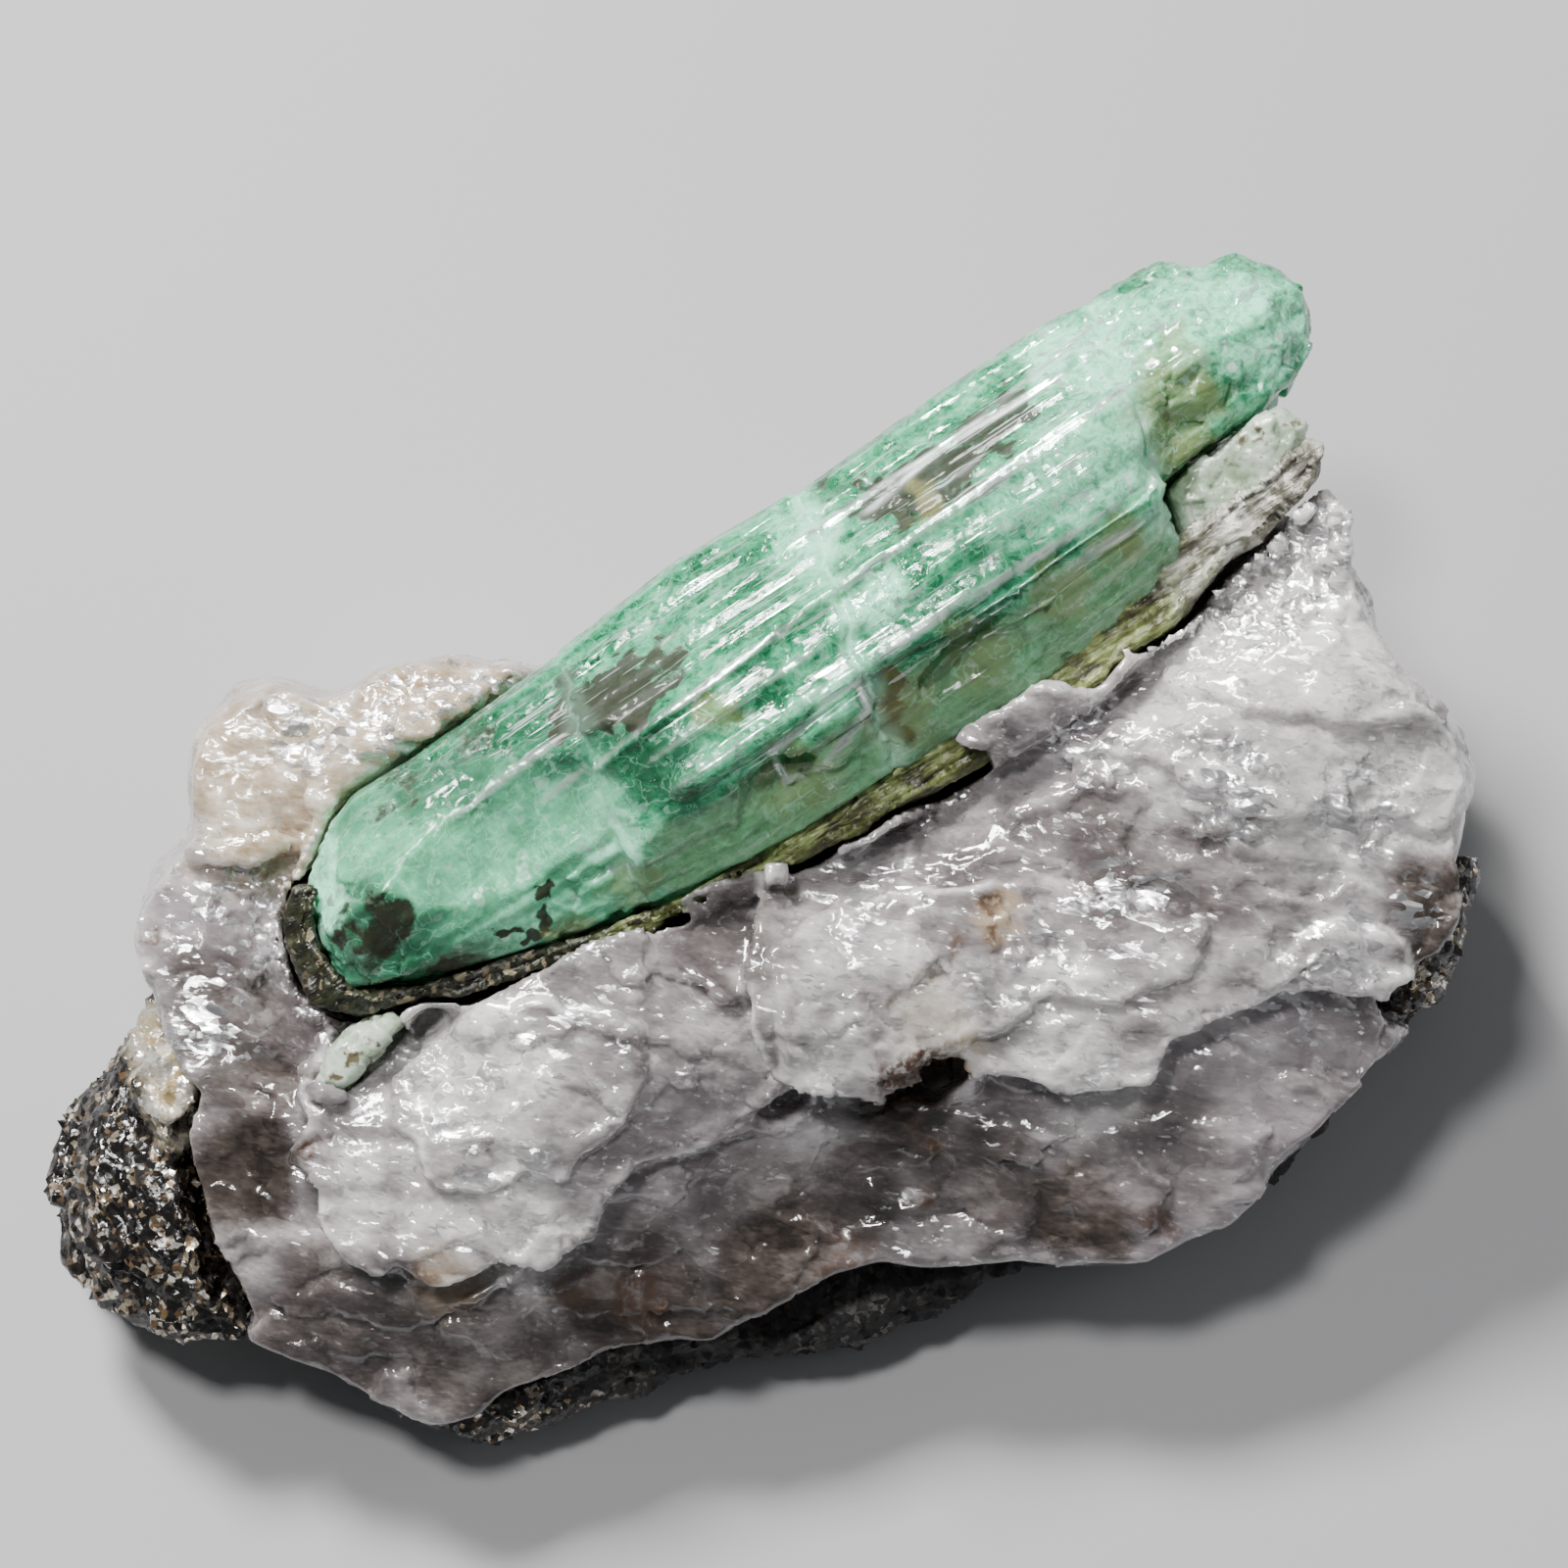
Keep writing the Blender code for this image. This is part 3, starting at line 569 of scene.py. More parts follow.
def sheets(points):
    """The crisp edges of the sheets: a sheet rises towards its edge and the stone dips just outside it."""
    ragged = frayed(points, 1.6, 0.35, 1)
    height = np.zeros(len(points))
    for outline, step, reach in CLIFFS:
        depth = inside(ragged, outline)
        within = rise(depth, -CLIFF_WIDTH, CLIFF_WIDTH)
        if outline is MIDDLE_SLAB:
            height *= 1.0 - within
        if outline is LEFT_SLAB:
            step = step * (1.0 - 0.75 * rise(points[:, 0], -7.0, -2.5))
        height += step * (2.0 * within - 1.0) * np.exp(-np.abs(depth) / reach)
    return height


def flatten_face(piece):
    """Spreads the face's bulges into gentle slopes."""
    points, normals = read_points(piece)
    counted = (outside_bed(points) > 0.5) & (normals[:, 2] > 0.2)
    target = read_map(height_map(points, counted), points)
    near_front = rise(points[:, 2] - target, -2.6, -1.4)
    share = near_front * outside_bed(points, 0.2, 2.6) * rise(normals[:, 2], 0.05, 0.4)
    points[:, 2] += share * (target - points[:, 2])
    write_points(piece, points)


def break_into_sheets(points, normals):
    return sheets(points) * outside_bed(points, 0.6) * rise(normals[:, 2], 0.35, 0.75)


def scoops(points, size, seed):
    """Shallow dishes that meet in sharp ridges, as where glassy stone breaks."""
    near, _, chance = cells(points, size, seed)
    return near * near * (0.6 + 0.8 * chance[:, 0]) - 0.25


def ripples(points, normals):
    """Glassy breaks, longer along u than across it on most of the face."""
    drawn_out = frayed(points, 2.5, 0.8, 34) * np.array((0.5, 1.0, 0.6))
    front = 0.4 + 0.6 * facing_out(normals)
    return 0.06 + 0.12 * layered_noise(points, 4.0, 21, 3) + front * (
        0.07 * scoops(drawn_out, 2.1, 31) + 0.17 * facets(drawn_out, 2.1, 37)
        + 0.04 * scoops(drawn_out, 0.8, 32) + 0.06 * facets(drawn_out, 0.8, 38))


def sugary_faces(points, normals):
    return spots(points, SUGARY) * facing_out(normals) * 0.24 * facets(points, 0.75, 11)


flatten_face(quartz)
remesh(quartz, QUARTZ_VOXEL, 1, FACE_GRID)
press(quartz, break_into_sheets)
remesh(quartz, QUARTZ_VOXEL, 1, FACE_GRID)
press(quartz, ripples)
press(quartz, sugary_faces)
thin_out(quartz, QUARTZ_TRIANGLES)
smooth_shade(quartz)
report(quartz)

# %% [markdown]
# ## Quartz finish
# Quartz is clear, and the grain boundaries and tiny bubbles inside it turn it milky. Some of the light comes
# out again a millimetre or two away, which subsurface scattering copies. Where there are fewer bubbles it is
# smoky and darker; along the bottom band the smoky colour is also painted shade. Iron has stained the block
# behind the crystal tan and left brown specks in the hollows. The thin edges of the sheets get a painted
# highlight. Small broken faces catch the lamps like mirrors, so a bright second shader is blended in at them.

# %% Stains, smoke with painted shade, painted rim highlights and glints on the quartz
TAN = [(-17.5, 2.5, 5.2, 1.0), (-12.0, 4.8, 4.2, 1.0), (-19.5, 1.0, 2.5, 0.9)]
# Smoky patches: darker smoky quartz, and along the bottom band also painted shade where the underside turns
# from the light.
SMOKY_AND_SHADE = [
    (-19.1, -9.1, 2.8, 0.9), (-19.3, -12.0, 2.6, 1.0), (-16.4, -18.0, 4.2, 0.85), (-10.9, -18.8, 4.0, 0.9),
    (-4.7, -17.2, 4.0, 1.0), (0.5, -15.5, 3.5, 1.0), (-1.1, -12.7, 2.6, 0.5), (-1.5, -3.6, 2.6, 0.65),
    (8.2, -0.4, 2.4, 0.45), (12.7, -0.2, 2.8, 0.7), (16.4, -0.6, 2.6, 0.6), (4.4, -10.6, 2.4, 1.0),
    (8.0, -12.0, 3.0, 0.85), (11.6, -13.1, 2.6, 1.0), (2.9, -13.2, 2.8, 0.9), (14.5, -11.3, 2.5, 0.5),
    (24.9, -1.6, 2.3, 1.0), (25.2, -3.8, 1.8, 1.0), (-20.0, -5.8, 2.4, 0.8), (-17.6, -6.2, 2.0, 0.6),
    (22.0, -8.4, 2.0, 0.3),
]
MILKY = [
    (-10.9, -9.0, 4.0, 0.8), (-9.5, -14.0, 3.4, 0.9), (-14.6, -13.0, 2.2, 0.8), (1.8, -5.1, 2.6, 0.7),
    (10.9, -6.6, 2.6, 0.9), (16.0, 8.0, 4.6, 1.0), (21.0, 8.0, 5.0, 1.0), (24.8, 2.8, 3.0, 1.0),
    (20.0, 2.5, 4.0, 0.9), (15.0, 3.5, 3.0, 0.8), (19.0, 12.5, 3.0, 1.0), (17.0, -5.5, 3.0, 0.6),
    (21.5, -3.7, 2.2, 0.9), (6.2, -5.8, 2.2, 0.9), (2.5, -8.3, 1.6, 0.9), (12.5, -8.3, 2.2, 0.8),
]
MAUVE = [
    (18.9, -8.4, 4.5, 0.8), (15.3, -13.5, 3.4, 0.9), (-2.9, -11.3, 3.0, 0.6), (-21.4, -2.4, 2.8, 0.9),
    (9.5, 1.5, 3.0, 0.4), (21.0, -6.5, 3.0, 0.6),
]
BROWN = [
    (8.3, -1.8, 0.45, 1.0), (8.2, -2.9, 0.4, 0.9), (7.0, -3.2, 0.6, 0.8), (6.5, -4.4, 0.45, 0.7),
    (3.8, -5.5, 0.6, 0.6), (6.4, -7.6, 1.1, 1.0), (4.9, -8.4, 1.1, 1.0), (5.2, -9.6, 0.9, 0.9),
    (6.4, -11.3, 0.5, 0.9), (6.0, -13.0, 0.6, 0.9), (-4.8, -16.8, 1.3, 0.7), (-7.2, -16.4, 1.0, 0.6),
    (-12.7, -16.0, 0.7, 0.7), (-8.7, -11.9, 0.35, 0.8), (14.6, -13.8, 0.6, 0.8), (-16.9, -11.2, 0.6, 0.9),
    (-22.9, -3.4, 0.5, 1.0), (12.9, 8.2, 0.5, 0.8), (3.0, -15.5, 1.4, 0.6), (-8.5, -9.0, 0.3, 0.6),
    (25.5, -0.2, 0.8, 0.5),
]
HONEY = [(8.6, -2.4, 1.1, 1.0), (6.0, -5.9, 1.8, 0.5), (7.0, -7.3, 1.2, 0.9), (-12.0, -16.0, 1.6, 0.5)]
GLINT = [
    (17.0, 2.5, 2.5, 1.0), (21.8, 1.9, 2.4, 1.0), (12.9, -1.5, 1.9, 1.0), (14.6, -1.9, 1.8, 0.9),
    (12.0, 4.2, 1.8, 1.0), (18.2, 9.6, 3.2, 1.0), (20.5, 11.8, 2.8, 0.9), (15.4, 8.4, 2.0, 0.7),
    (10.2, -4.4, 1.9, 0.9), (13.2, -5.0, 1.8, 0.7), (-8.6, -11.4, 1.1, 1.0), (-10.6, -11.5, 1.0, 1.0),
    (-11.6, -8.6, 2.4, 0.7), (-8.4, -7.2, 1.5, 0.7), (-6.0, -5.6, 1.8, 0.6), (3.6, -0.8, 1.9, 0.7),
    (8.0, -5.2, 1.5, 0.6), (2.4, -8.4, 1.0, 1.0), (12.4, -8.4, 1.0, 1.0), (19.3, -5.8, 1.5, 0.7),
    (21.4, -3.6, 2.2, 1.0), (-13.8, 5.0, 2.8, 1.0), (-10.4, 5.8, 2.8, 1.0), (-17.0, 4.4, 2.0, 1.0),
    (-19.8, -1.7, 1.6, 1.0), (-18.4, -3.4, 1.9, 1.0), (-20.8, -6.4, 2.0, 1.0), (-17.0, -5.0, 1.5, 1.0),
    (22.6, 6.0, 2.0, 0.6), (24.0, -2.2, 1.2, 1.0),
]
PAINTED_RIM_WIDTH = 0.3


def painted_rim_lights(points):
    """Painted highlight: the thin edges of the sheets, made lighter where light would come through."""
    bright = np.zeros(len(points))
    ragged = frayed(points, 1.6, 0.35, 1)
    for outline, _, _ in CLIFFS:
        depth = inside(ragged, outline)
        bright = np.maximum(bright, rise(depth, -0.2, -0.02) * (1.0 - rise(depth, 0.05, PAINTED_RIM_WIDTH)))
    return bright * rise(layered_noise(points, 2.5, 49, 3), -0.35, 0.25)


points, normals = read_points(quartz)
for name, places, fray, size, seed in (
        ("tan", TAN, 0.9, 1.8, 41), ("smoky", SMOKY_AND_SHADE, 1.3, 3.0, 42), ("milky", MILKY, 1.3, 3.0, 45),
        ("mauve", MAUVE, 1.0, 3.0, 46), ("brown", BROWN, 0.5, 0.8, 43), ("honey", HONEY, 0.5, 0.8, 47),
        ("glint", GLINT, 0.7, 1.2, 48)):
    paint(quartz, name, spots(points, places, fray, size, seed))
# Painted highlight along the thin sheet edges.
paint(quartz, "rim", painted_rim_lights(points))


# %% The quartz material
def quartz_material():
    f = Finish("milky quartz")
    tan, smoky, milky, mauve, brown, honey, glint, rim = (
        f.attribute(name) for name in ("tan", "smoky", "milky", "mauve", "brown", "honey", "glint", "rim"))
    drawn = f.stretched((LEAN, 0.0, math.radians(-12.0)), (2.2, 1.0, 1.0))
    cloud = f.noise(3.2, 4.0, 0.6)
    grain = f.noise(0.40, 3.0, 0.65, place=drawn)
    wisp = f.noise(1.1, 3.0, 0.6, place=drawn)
    bent = f.warped(0.6, 0.18, drawn)
    chance, plane = f.flakes(0.30, bent)
    broad_chance, broad = f.flakes(1.1, bent)
    grit = f.noise(0.13, 0.0, 0.6, place=drawn)
    dash_chance, dash = f.flakes(0.15, bent)
    shade = cloud * 0.42 + wisp * 0.28 + grain * 0.16 + grit * 0.07 + broad_chance * 0.07
    base = f.ramp(shade, [
        (0.38, (0.13, 0.114, 0.118)), (0.50, (0.27, 0.245, 0.25)), (0.62, (0.50, 0.475, 0.475))])
    smoke_and_shade = f.ramp(shade, [
        (0.40, (0.016, 0.0115, 0.009)), (0.50, (0.060, 0.046, 0.039)), (0.63, (0.19, 0.165, 0.155))])
    milk = f.ramp(shade, [
        (0.38, (0.34, 0.322, 0.318)), (0.50, (0.58, 0.56, 0.55)), (0.62, (0.86, 0.845, 0.83))])
    warm = f.ramp(cloud * 0.5 + grain * 0.5, [
        (0.34, (0.28, 0.19, 0.11)), (0.50, (0.52, 0.43, 0.33)), (0.64, (0.78, 0.73, 0.65))])
    colour = f.mix(milky, base, milk)
    colour = f.mix(mauve * 0.6, colour, f.mix(wisp, (0.16, 0.13, 0.145), (0.42, 0.37, 0.39)))
    # Smoky colour: real smoky quartz, and painted shade along the bottom band.
    colour = f.mix(smoky, colour, smoke_and_shade)
    colour = f.mix(tan, colour, warm)
    colour = f.mix(honey * 0.75, colour, f.mix(wisp, (0.60, 0.48, 0.31), (0.22, 0.12, 0.05)))
    speck = f.noise(0.3, 3.0).above(0.45, 0.1)
    colour = f.mix(brown * speck, colour, f.mix(grain, (0.12, 0.055, 0.02), (0.02, 0.012, 0.009)))
    # Painted highlight: the thin sheet edges turn near white, as if light shone through them.
    colour = f.mix(rim * (0.35 + 0.5 * grain), colour, (0.88, 0.86, 0.84))
    swell = f.noise(0.9, 0.0, 0.5, place=drawn)
    body_normal = f.bump(swell * 0.11 + broad * 0.16 + plane * 0.035 + dash * 0.016)
    body = f.shader(
        Base_Color=colour, Roughness=0.08 + 0.14 * grain + 0.35 * brown, Normal=body_normal, IOR=1.54,
        Coat_Weight=1.0 - brown, Coat_Roughness=0.05,
        Subsurface_Weight=0.5, Subsurface_Radius=(1.0, 0.95, 0.93), Subsurface_Scale=0.0022)
    glint_normal = f.bump(broad * 0.30 + plane * 0.22 + dash * 0.06)
    facet = f.shader(
        Base_Color=(0.93, 0.93, 0.95, 1.0), Roughness=0.36, Normal=glint_normal, Metallic=1.0)
    fleck = (chance * 0.5 + grain * 0.5 + 0.14 * glint).above(0.66, 0.05) * glint
    spark = (dash_chance * 0.4 + grain * 0.6 + 0.03 * milky).above(0.68, 0.03)
    spark = spark * 0.7 * (1 - brown) * (1 - smoky)
    return f.show(f.blend(f.largest(fleck, spark) * 0.85, body, facet))


give(quartz, quartz_material())

# %% [markdown]
# ## Emerald relief
# The prism is striated: its long faces are built of hundreds of narrow steps that all run along its length.
# The relief is noise that is stretched along the prism, so it hardly changes in s but quickly across it, and
# two sizes of it give broad steps and fine striae. Healed breaks cross the prism and lean a little.

# %% The emerald itself
EMERALD_VOXEL = 0.115
EMERALD_SWELL = 0.10
EMERALD_TRIANGLES = 196_000
BREAKS = [(-8.4, 0.08), (2.3, 0.14), (15.1, 0.14), (-12.8, 0.04), (7.6, 0.03), (11.2, 0.03)]
BREAK_SLANT = -0.24
WINDOW = [(-2.8, 3.3), (-3.0, 4.6), (-1.4, 4.9), (1.1, 4.1), (1.3, 2.9)]
RIDGES = [
    ([(-8.6, 0.3), (1.3, -0.2), (8.0, -0.3), (16.4, -0.7)], 0.20),
    ([(-6.5, 2.5), (1.4, 2.4), (6.9, 2.7), (14.6, 2.9)], 0.22),
    ([(-4.0, -2.2), (3.0, -2.6), (14.0, -2.4)], 0.10), ([(3.6, -1.9), (16.2, -3.3)], 0.08),
    ([(-14.5, -1.1), (-8.4, -1.4)], 0.08), ([(-13.6, 0.3), (-8.8, 0.1)], 0.08),
    ([(2.8, -1.2), (9.5, -1.4)], 0.08), ([(5.0, 3.6), (14.0, 3.9)], 0.08), ([(-7.0, 1.2), (1.0, 1.1)], 0.06),
]

emerald = copy_of_node("emerald_crystal", "emerald")
remesh(emerald, EMERALD_VOXEL, 12, PRISM_GRID)


def along_prism(points, length, width, seed, layers=2):
    local = to_prism(points) * np.array((width / length, 1.0, 1.0))
    return layered_noise(local, width, seed, layers)


def on_long_faces(normals):
    along = np.abs(normals @ PRISM_AXES[0])
    return 1.0 - rise(along, 0.35, 0.8)


def line_offset(local, line):
    """How far each point lies across from a line drawn along the prism, and how far past its ends."""
    across = local[:, 1] - np.interp(local[:, 0], [s for s, t in line], [t for s, t in line])
    beyond = np.maximum(line[0][0] - local[:, 0], local[:, 0] - line[-1][0])
    return across, 1.0 - rise(beyond, -1.0, 0.4)


def cleaved(points):
    """1 on the smooth broken area at the crystal's left end, where the prism faces are gone."""
    local = to_prism(points)
    border = np.interp(local[:, 1], [-4.5, -0.2, 1.5, 5.0], [-15.2, -8.8, -8.2, -8.9])
    return 1.0 - rise(local[:, 0] - border + 0.5 * layered_noise(points, 1.5, 58, 3), -0.15, 0.35)


def terraces(points, normals):
    local = to_prism(points)
    height = np.zeros(len(points))
    for line, step in RIDGES:
        across, reach = line_offset(local, line)
        wander = 0.10 * along_prism(points, 5.0, 0.6, 59)
        rib = np.exp(-((across + wander) / 0.22) ** 2)
        height += reach * step * (rib + 0.8 * rise(across + wander, -0.1, 0.1))
    height += 0.25 * rise(inside(local, WINDOW), -0.05, 0.15)
    return height * facing_out(normals) * (1.0 - cleaved(points))


def striae(points, normals):
    steps = np.floor(along_prism(points, 14.0, 1.0, 51) * 3.5) / 3.5
    fine = np.abs(along_prism(points, 7.0, 0.30, 52))
    return (0.035 * steps + 0.015 * fine) * on_long_faces(normals) * (1.0 - 0.85 * cleaved(points))


def break_distance(points, station):
    local = to_prism(points)
    wander = 0.5 * smooth_noise(points, 1.6, 53) + 0.2 * smooth_noise(points, 0.5, 54)
    return local[:, 0] - BREAK_SLANT * local[:, 1] - station + wander


def healed_breaks(points, normals):
    depth = np.zeros(len(points))
    for station, notch in BREAKS:
        near = np.abs(break_distance(points, station))
        depth -= notch * (1.0 - rise(near, 0.0, 0.3))
    return depth


def crystal_chips(points, normals):
    worn = rise(smooth_noise(points, 3.0, 55), 0.10, 0.45)
    tip = rise(to_prism(points)[:, 0], 14.5, 16.5)
    blunt_end = rise(-to_prism(points)[:, 0], 16.4, 18.2)
    worn = np.maximum(worn, 0.8 * np.maximum(tip, blunt_end))
    return -0.26 * worn * np.abs(facets(points, 1.1, 56)) + 0.012 * facets(points, 0.4, 57)


press(emerald, terraces, striae, healed_breaks, lambda points, normals: EMERALD_SWELL)
press(emerald, crystal_chips)
thin_out(emerald, EMERALD_TRIANGLES)
smooth_shade(emerald)
report(emerald)

# %% [markdown]
# ## Emerald finish
# The crystal is clear green glass in principle: what enters is tinted by absorption on its way through. In
# fact healed cracks and tiny inclusions cloud it, so a milky green scattering shader is blended in where the
# cloud is thick. The striae keep sharp highlights either way, and thin painted highlight lines run along them
# and along the ridges.

# %% Clouds, inclusions, and painted highlight streaks and ridge lines in the emerald
CLOUDY = [(-15.0, 1.5, 3.6, 1.0), (-11.0, 2.8, 3.2, 1.0), (-18.0, -1.0, 2.0, 0.7)]
# Lighter mint patches: partly clearer green in the crystal, partly painted light on faces that turn away from
# the lamps.
BRIGHT = [
    (13.0, 1.0, 3.0, 0.7), (17.8, -1.6, 2.2, 0.8), (21.0, 0.4, 2.4, 0.8), (9.6, 0.6, 1.8, 0.4),
    (-19.6, -2.4, 0.9, 1.0), (-18.4, -3.3, 0.8, 1.0), (-19.2, 1.0, 0.35, 0.6),
    (3.3, 1.0, 1.3, 1.0), (2.6, -2.6, 1.6, 0.7), (14.2, -2.6, 1.9, 1.0), (16.8, -2.2, 1.6, 0.8),
    (19.5, -1.2, 2.2, 0.8), (-20.4, -1.2, 1.3, 1.0), (-9.6, 3.0, 1.6, 0.6), (9.0, 0.8, 1.4, 0.4),
    (0.4, 3.2, 1.0, 0.9), (-14.6, 4.0, 1.2, 0.4),
]
DARK = [
    (-18.5, 0.9, 1.5, 0.8), (-16.9, 3.6, 0.9, 0.8), (-14.0, 3.5, 0.40, 1.0), (-13.2, 3.5, 0.45, 1.0),
    (-7.7, -1.7, 1.5, 0.9), (-6.0, -1.4, 1.5, 1.0), (-4.2, -1.6, 1.3, 0.7), (6.0, -2.0, 1.6, 0.9),
    (8.2, -1.8, 1.6, 1.0), (10.2, -2.1, 1.3, 0.8), (11.8, -2.5, 0.9, 0.9), (4.6, -3.8, 1.0, 0.6),
    (-16.0, 4.2, 0.7, 0.7), (-11.6, -3.2, 1.2, 0.6),
    (-14.8, -3.0, 1.4, 0.6), (7.2, 1.6, 1.0, 0.45), (-2.4, 3.7, 1.2, 0.5), (1.6, 4.0, 1.4, 0.8),
]
DEEP = [
    (-18.9, 0.2, 1.9, 1.0), (-18.2, 2.2, 2.0, 1.0), (-16.6, 3.4, 1.4, 0.9), (-11.0, -3.5, 1.4, 0.8),
    (-6.4, 1.4, 2.3, 1.0), (-9.0, -2.0, 2.6, 0.8), (-13.0, -2.4, 2.4, 0.8), (4.6, 3.9, 2.6, 0.9),
    (8.6, 2.0, 2.0, 0.6), (-2.0, 1.2, 1.6, 0.5), (12.2, 1.6, 1.8, 0.4), (0.0, -2.4, 1.6, 0.5),
]
OLIVE = [
    (16.7, 1.0, 2.1, 1.0), (16.0, 2.6, 1.8, 1.0), (17.4, -0.6, 1.3, 0.8), (-3.8, 0.9, 1.0, 0.9),
    (6.9, -1.2, 0.9, 0.9), (12.0, 3.8, 1.2, 0.9), (9.4, 4.4, 1.4, 0.8), (5.5, 4.6, 1.6, 0.7),
    (-9.6, 4.6, 1.2, 0.8), (-12.6, 5.0, 1.0, 0.9), (2.0, 4.8, 1.6, 0.8), (-2.4, 4.8, 1.6, 0.7),
]
points, normals = read_points(emerald)
local = to_prism(points)
veil = np.zeros(len(points))
for station, notch in BREAKS:
    near = np.abs(break_distance(points, station))
    sheet = 0.45 * (1.0 - rise(near, 0.1, 0.8)) + 0.55 * (1.0 - rise(near, 0.03, 0.12))
    veil = np.maximum(veil, sheet * min(1.0, notch * notch * 50))
# Painted highlight: thin lines along the ridges and round the window facet, where edges catch the light. The
# finish makes them near white and mirror-like.
gleam = np.zeros(len(points))
for line, step in RIDGES:
    across, reach = line_offset(local, line)
    wander = 0.10 * along_prism(points, 5.0, 0.6, 59)
    gleam = np.maximum(gleam, reach * np.exp(-((across + wander) / 0.11) ** 2) * min(1.0, step * 9))
depth = inside(local, WINDOW)
gleam = np.maximum(gleam, rise(depth, -0.1, 0.0) * (1.0 - rise(depth, 0.1, 0.25)))
gleam *= facing_out(normals) * rise(along_prism(points, 6.0, 1.5, 64), -0.4, 0.2)
# Where the painted highlight streaks run thick: near-white lines along the striae that stand in for their
# glints.
PAINTED_STREAKS = [
    (-5.0, -2.5, 3.0, 0.4), (0.0, -3.0, 3.0, 0.6), (5.5, -3.2, 2.6, 0.7), (9.6, -3.0, 2.4, 0.7),
    (-3.4, 2.3, 2.2, 1.0), (1.6, 2.4, 2.4, 1.0), (5.6, 2.7, 2.0, 0.9), (8.4, -0.5, 2.0, 1.0),
    (12.2, -0.8, 2.4, 1.0), (-3.0, 0.0, 2.0, 0.7), (-10.0, -1.8, 2.4, 0.7), (10.6, 1.6, 1.8, 0.6),
]
flank = rise(local[:, 1] + 0.4 * layered_noise(points, 1.5, 68, 3), 3.3, 4.3)
paint(emerald, "flank", flank * (1.0 - cleaved(points)))
paint(emerald, "veil", veil)
paint(emerald, "gleam", gleam)
paint(emerald, "cleaved", cleaved(points))
for name, places, fray, size, seed in (
        ("lined", PAINTED_STREAKS, 0.6, 1.5, 67), ("cloudy", CLOUDY, 0.9, 1.8, 61), ("bright", BRIGHT, 0.8, 1.4, 65),
        ("dark", DARK, 0.9, 1.2, 62), ("deep", DEEP, 1.0, 2.0, 66), ("olive", OLIVE, 0.7, 1.2, 63)):
    paint(emerald, name, spots(local, places, fray, size, seed))


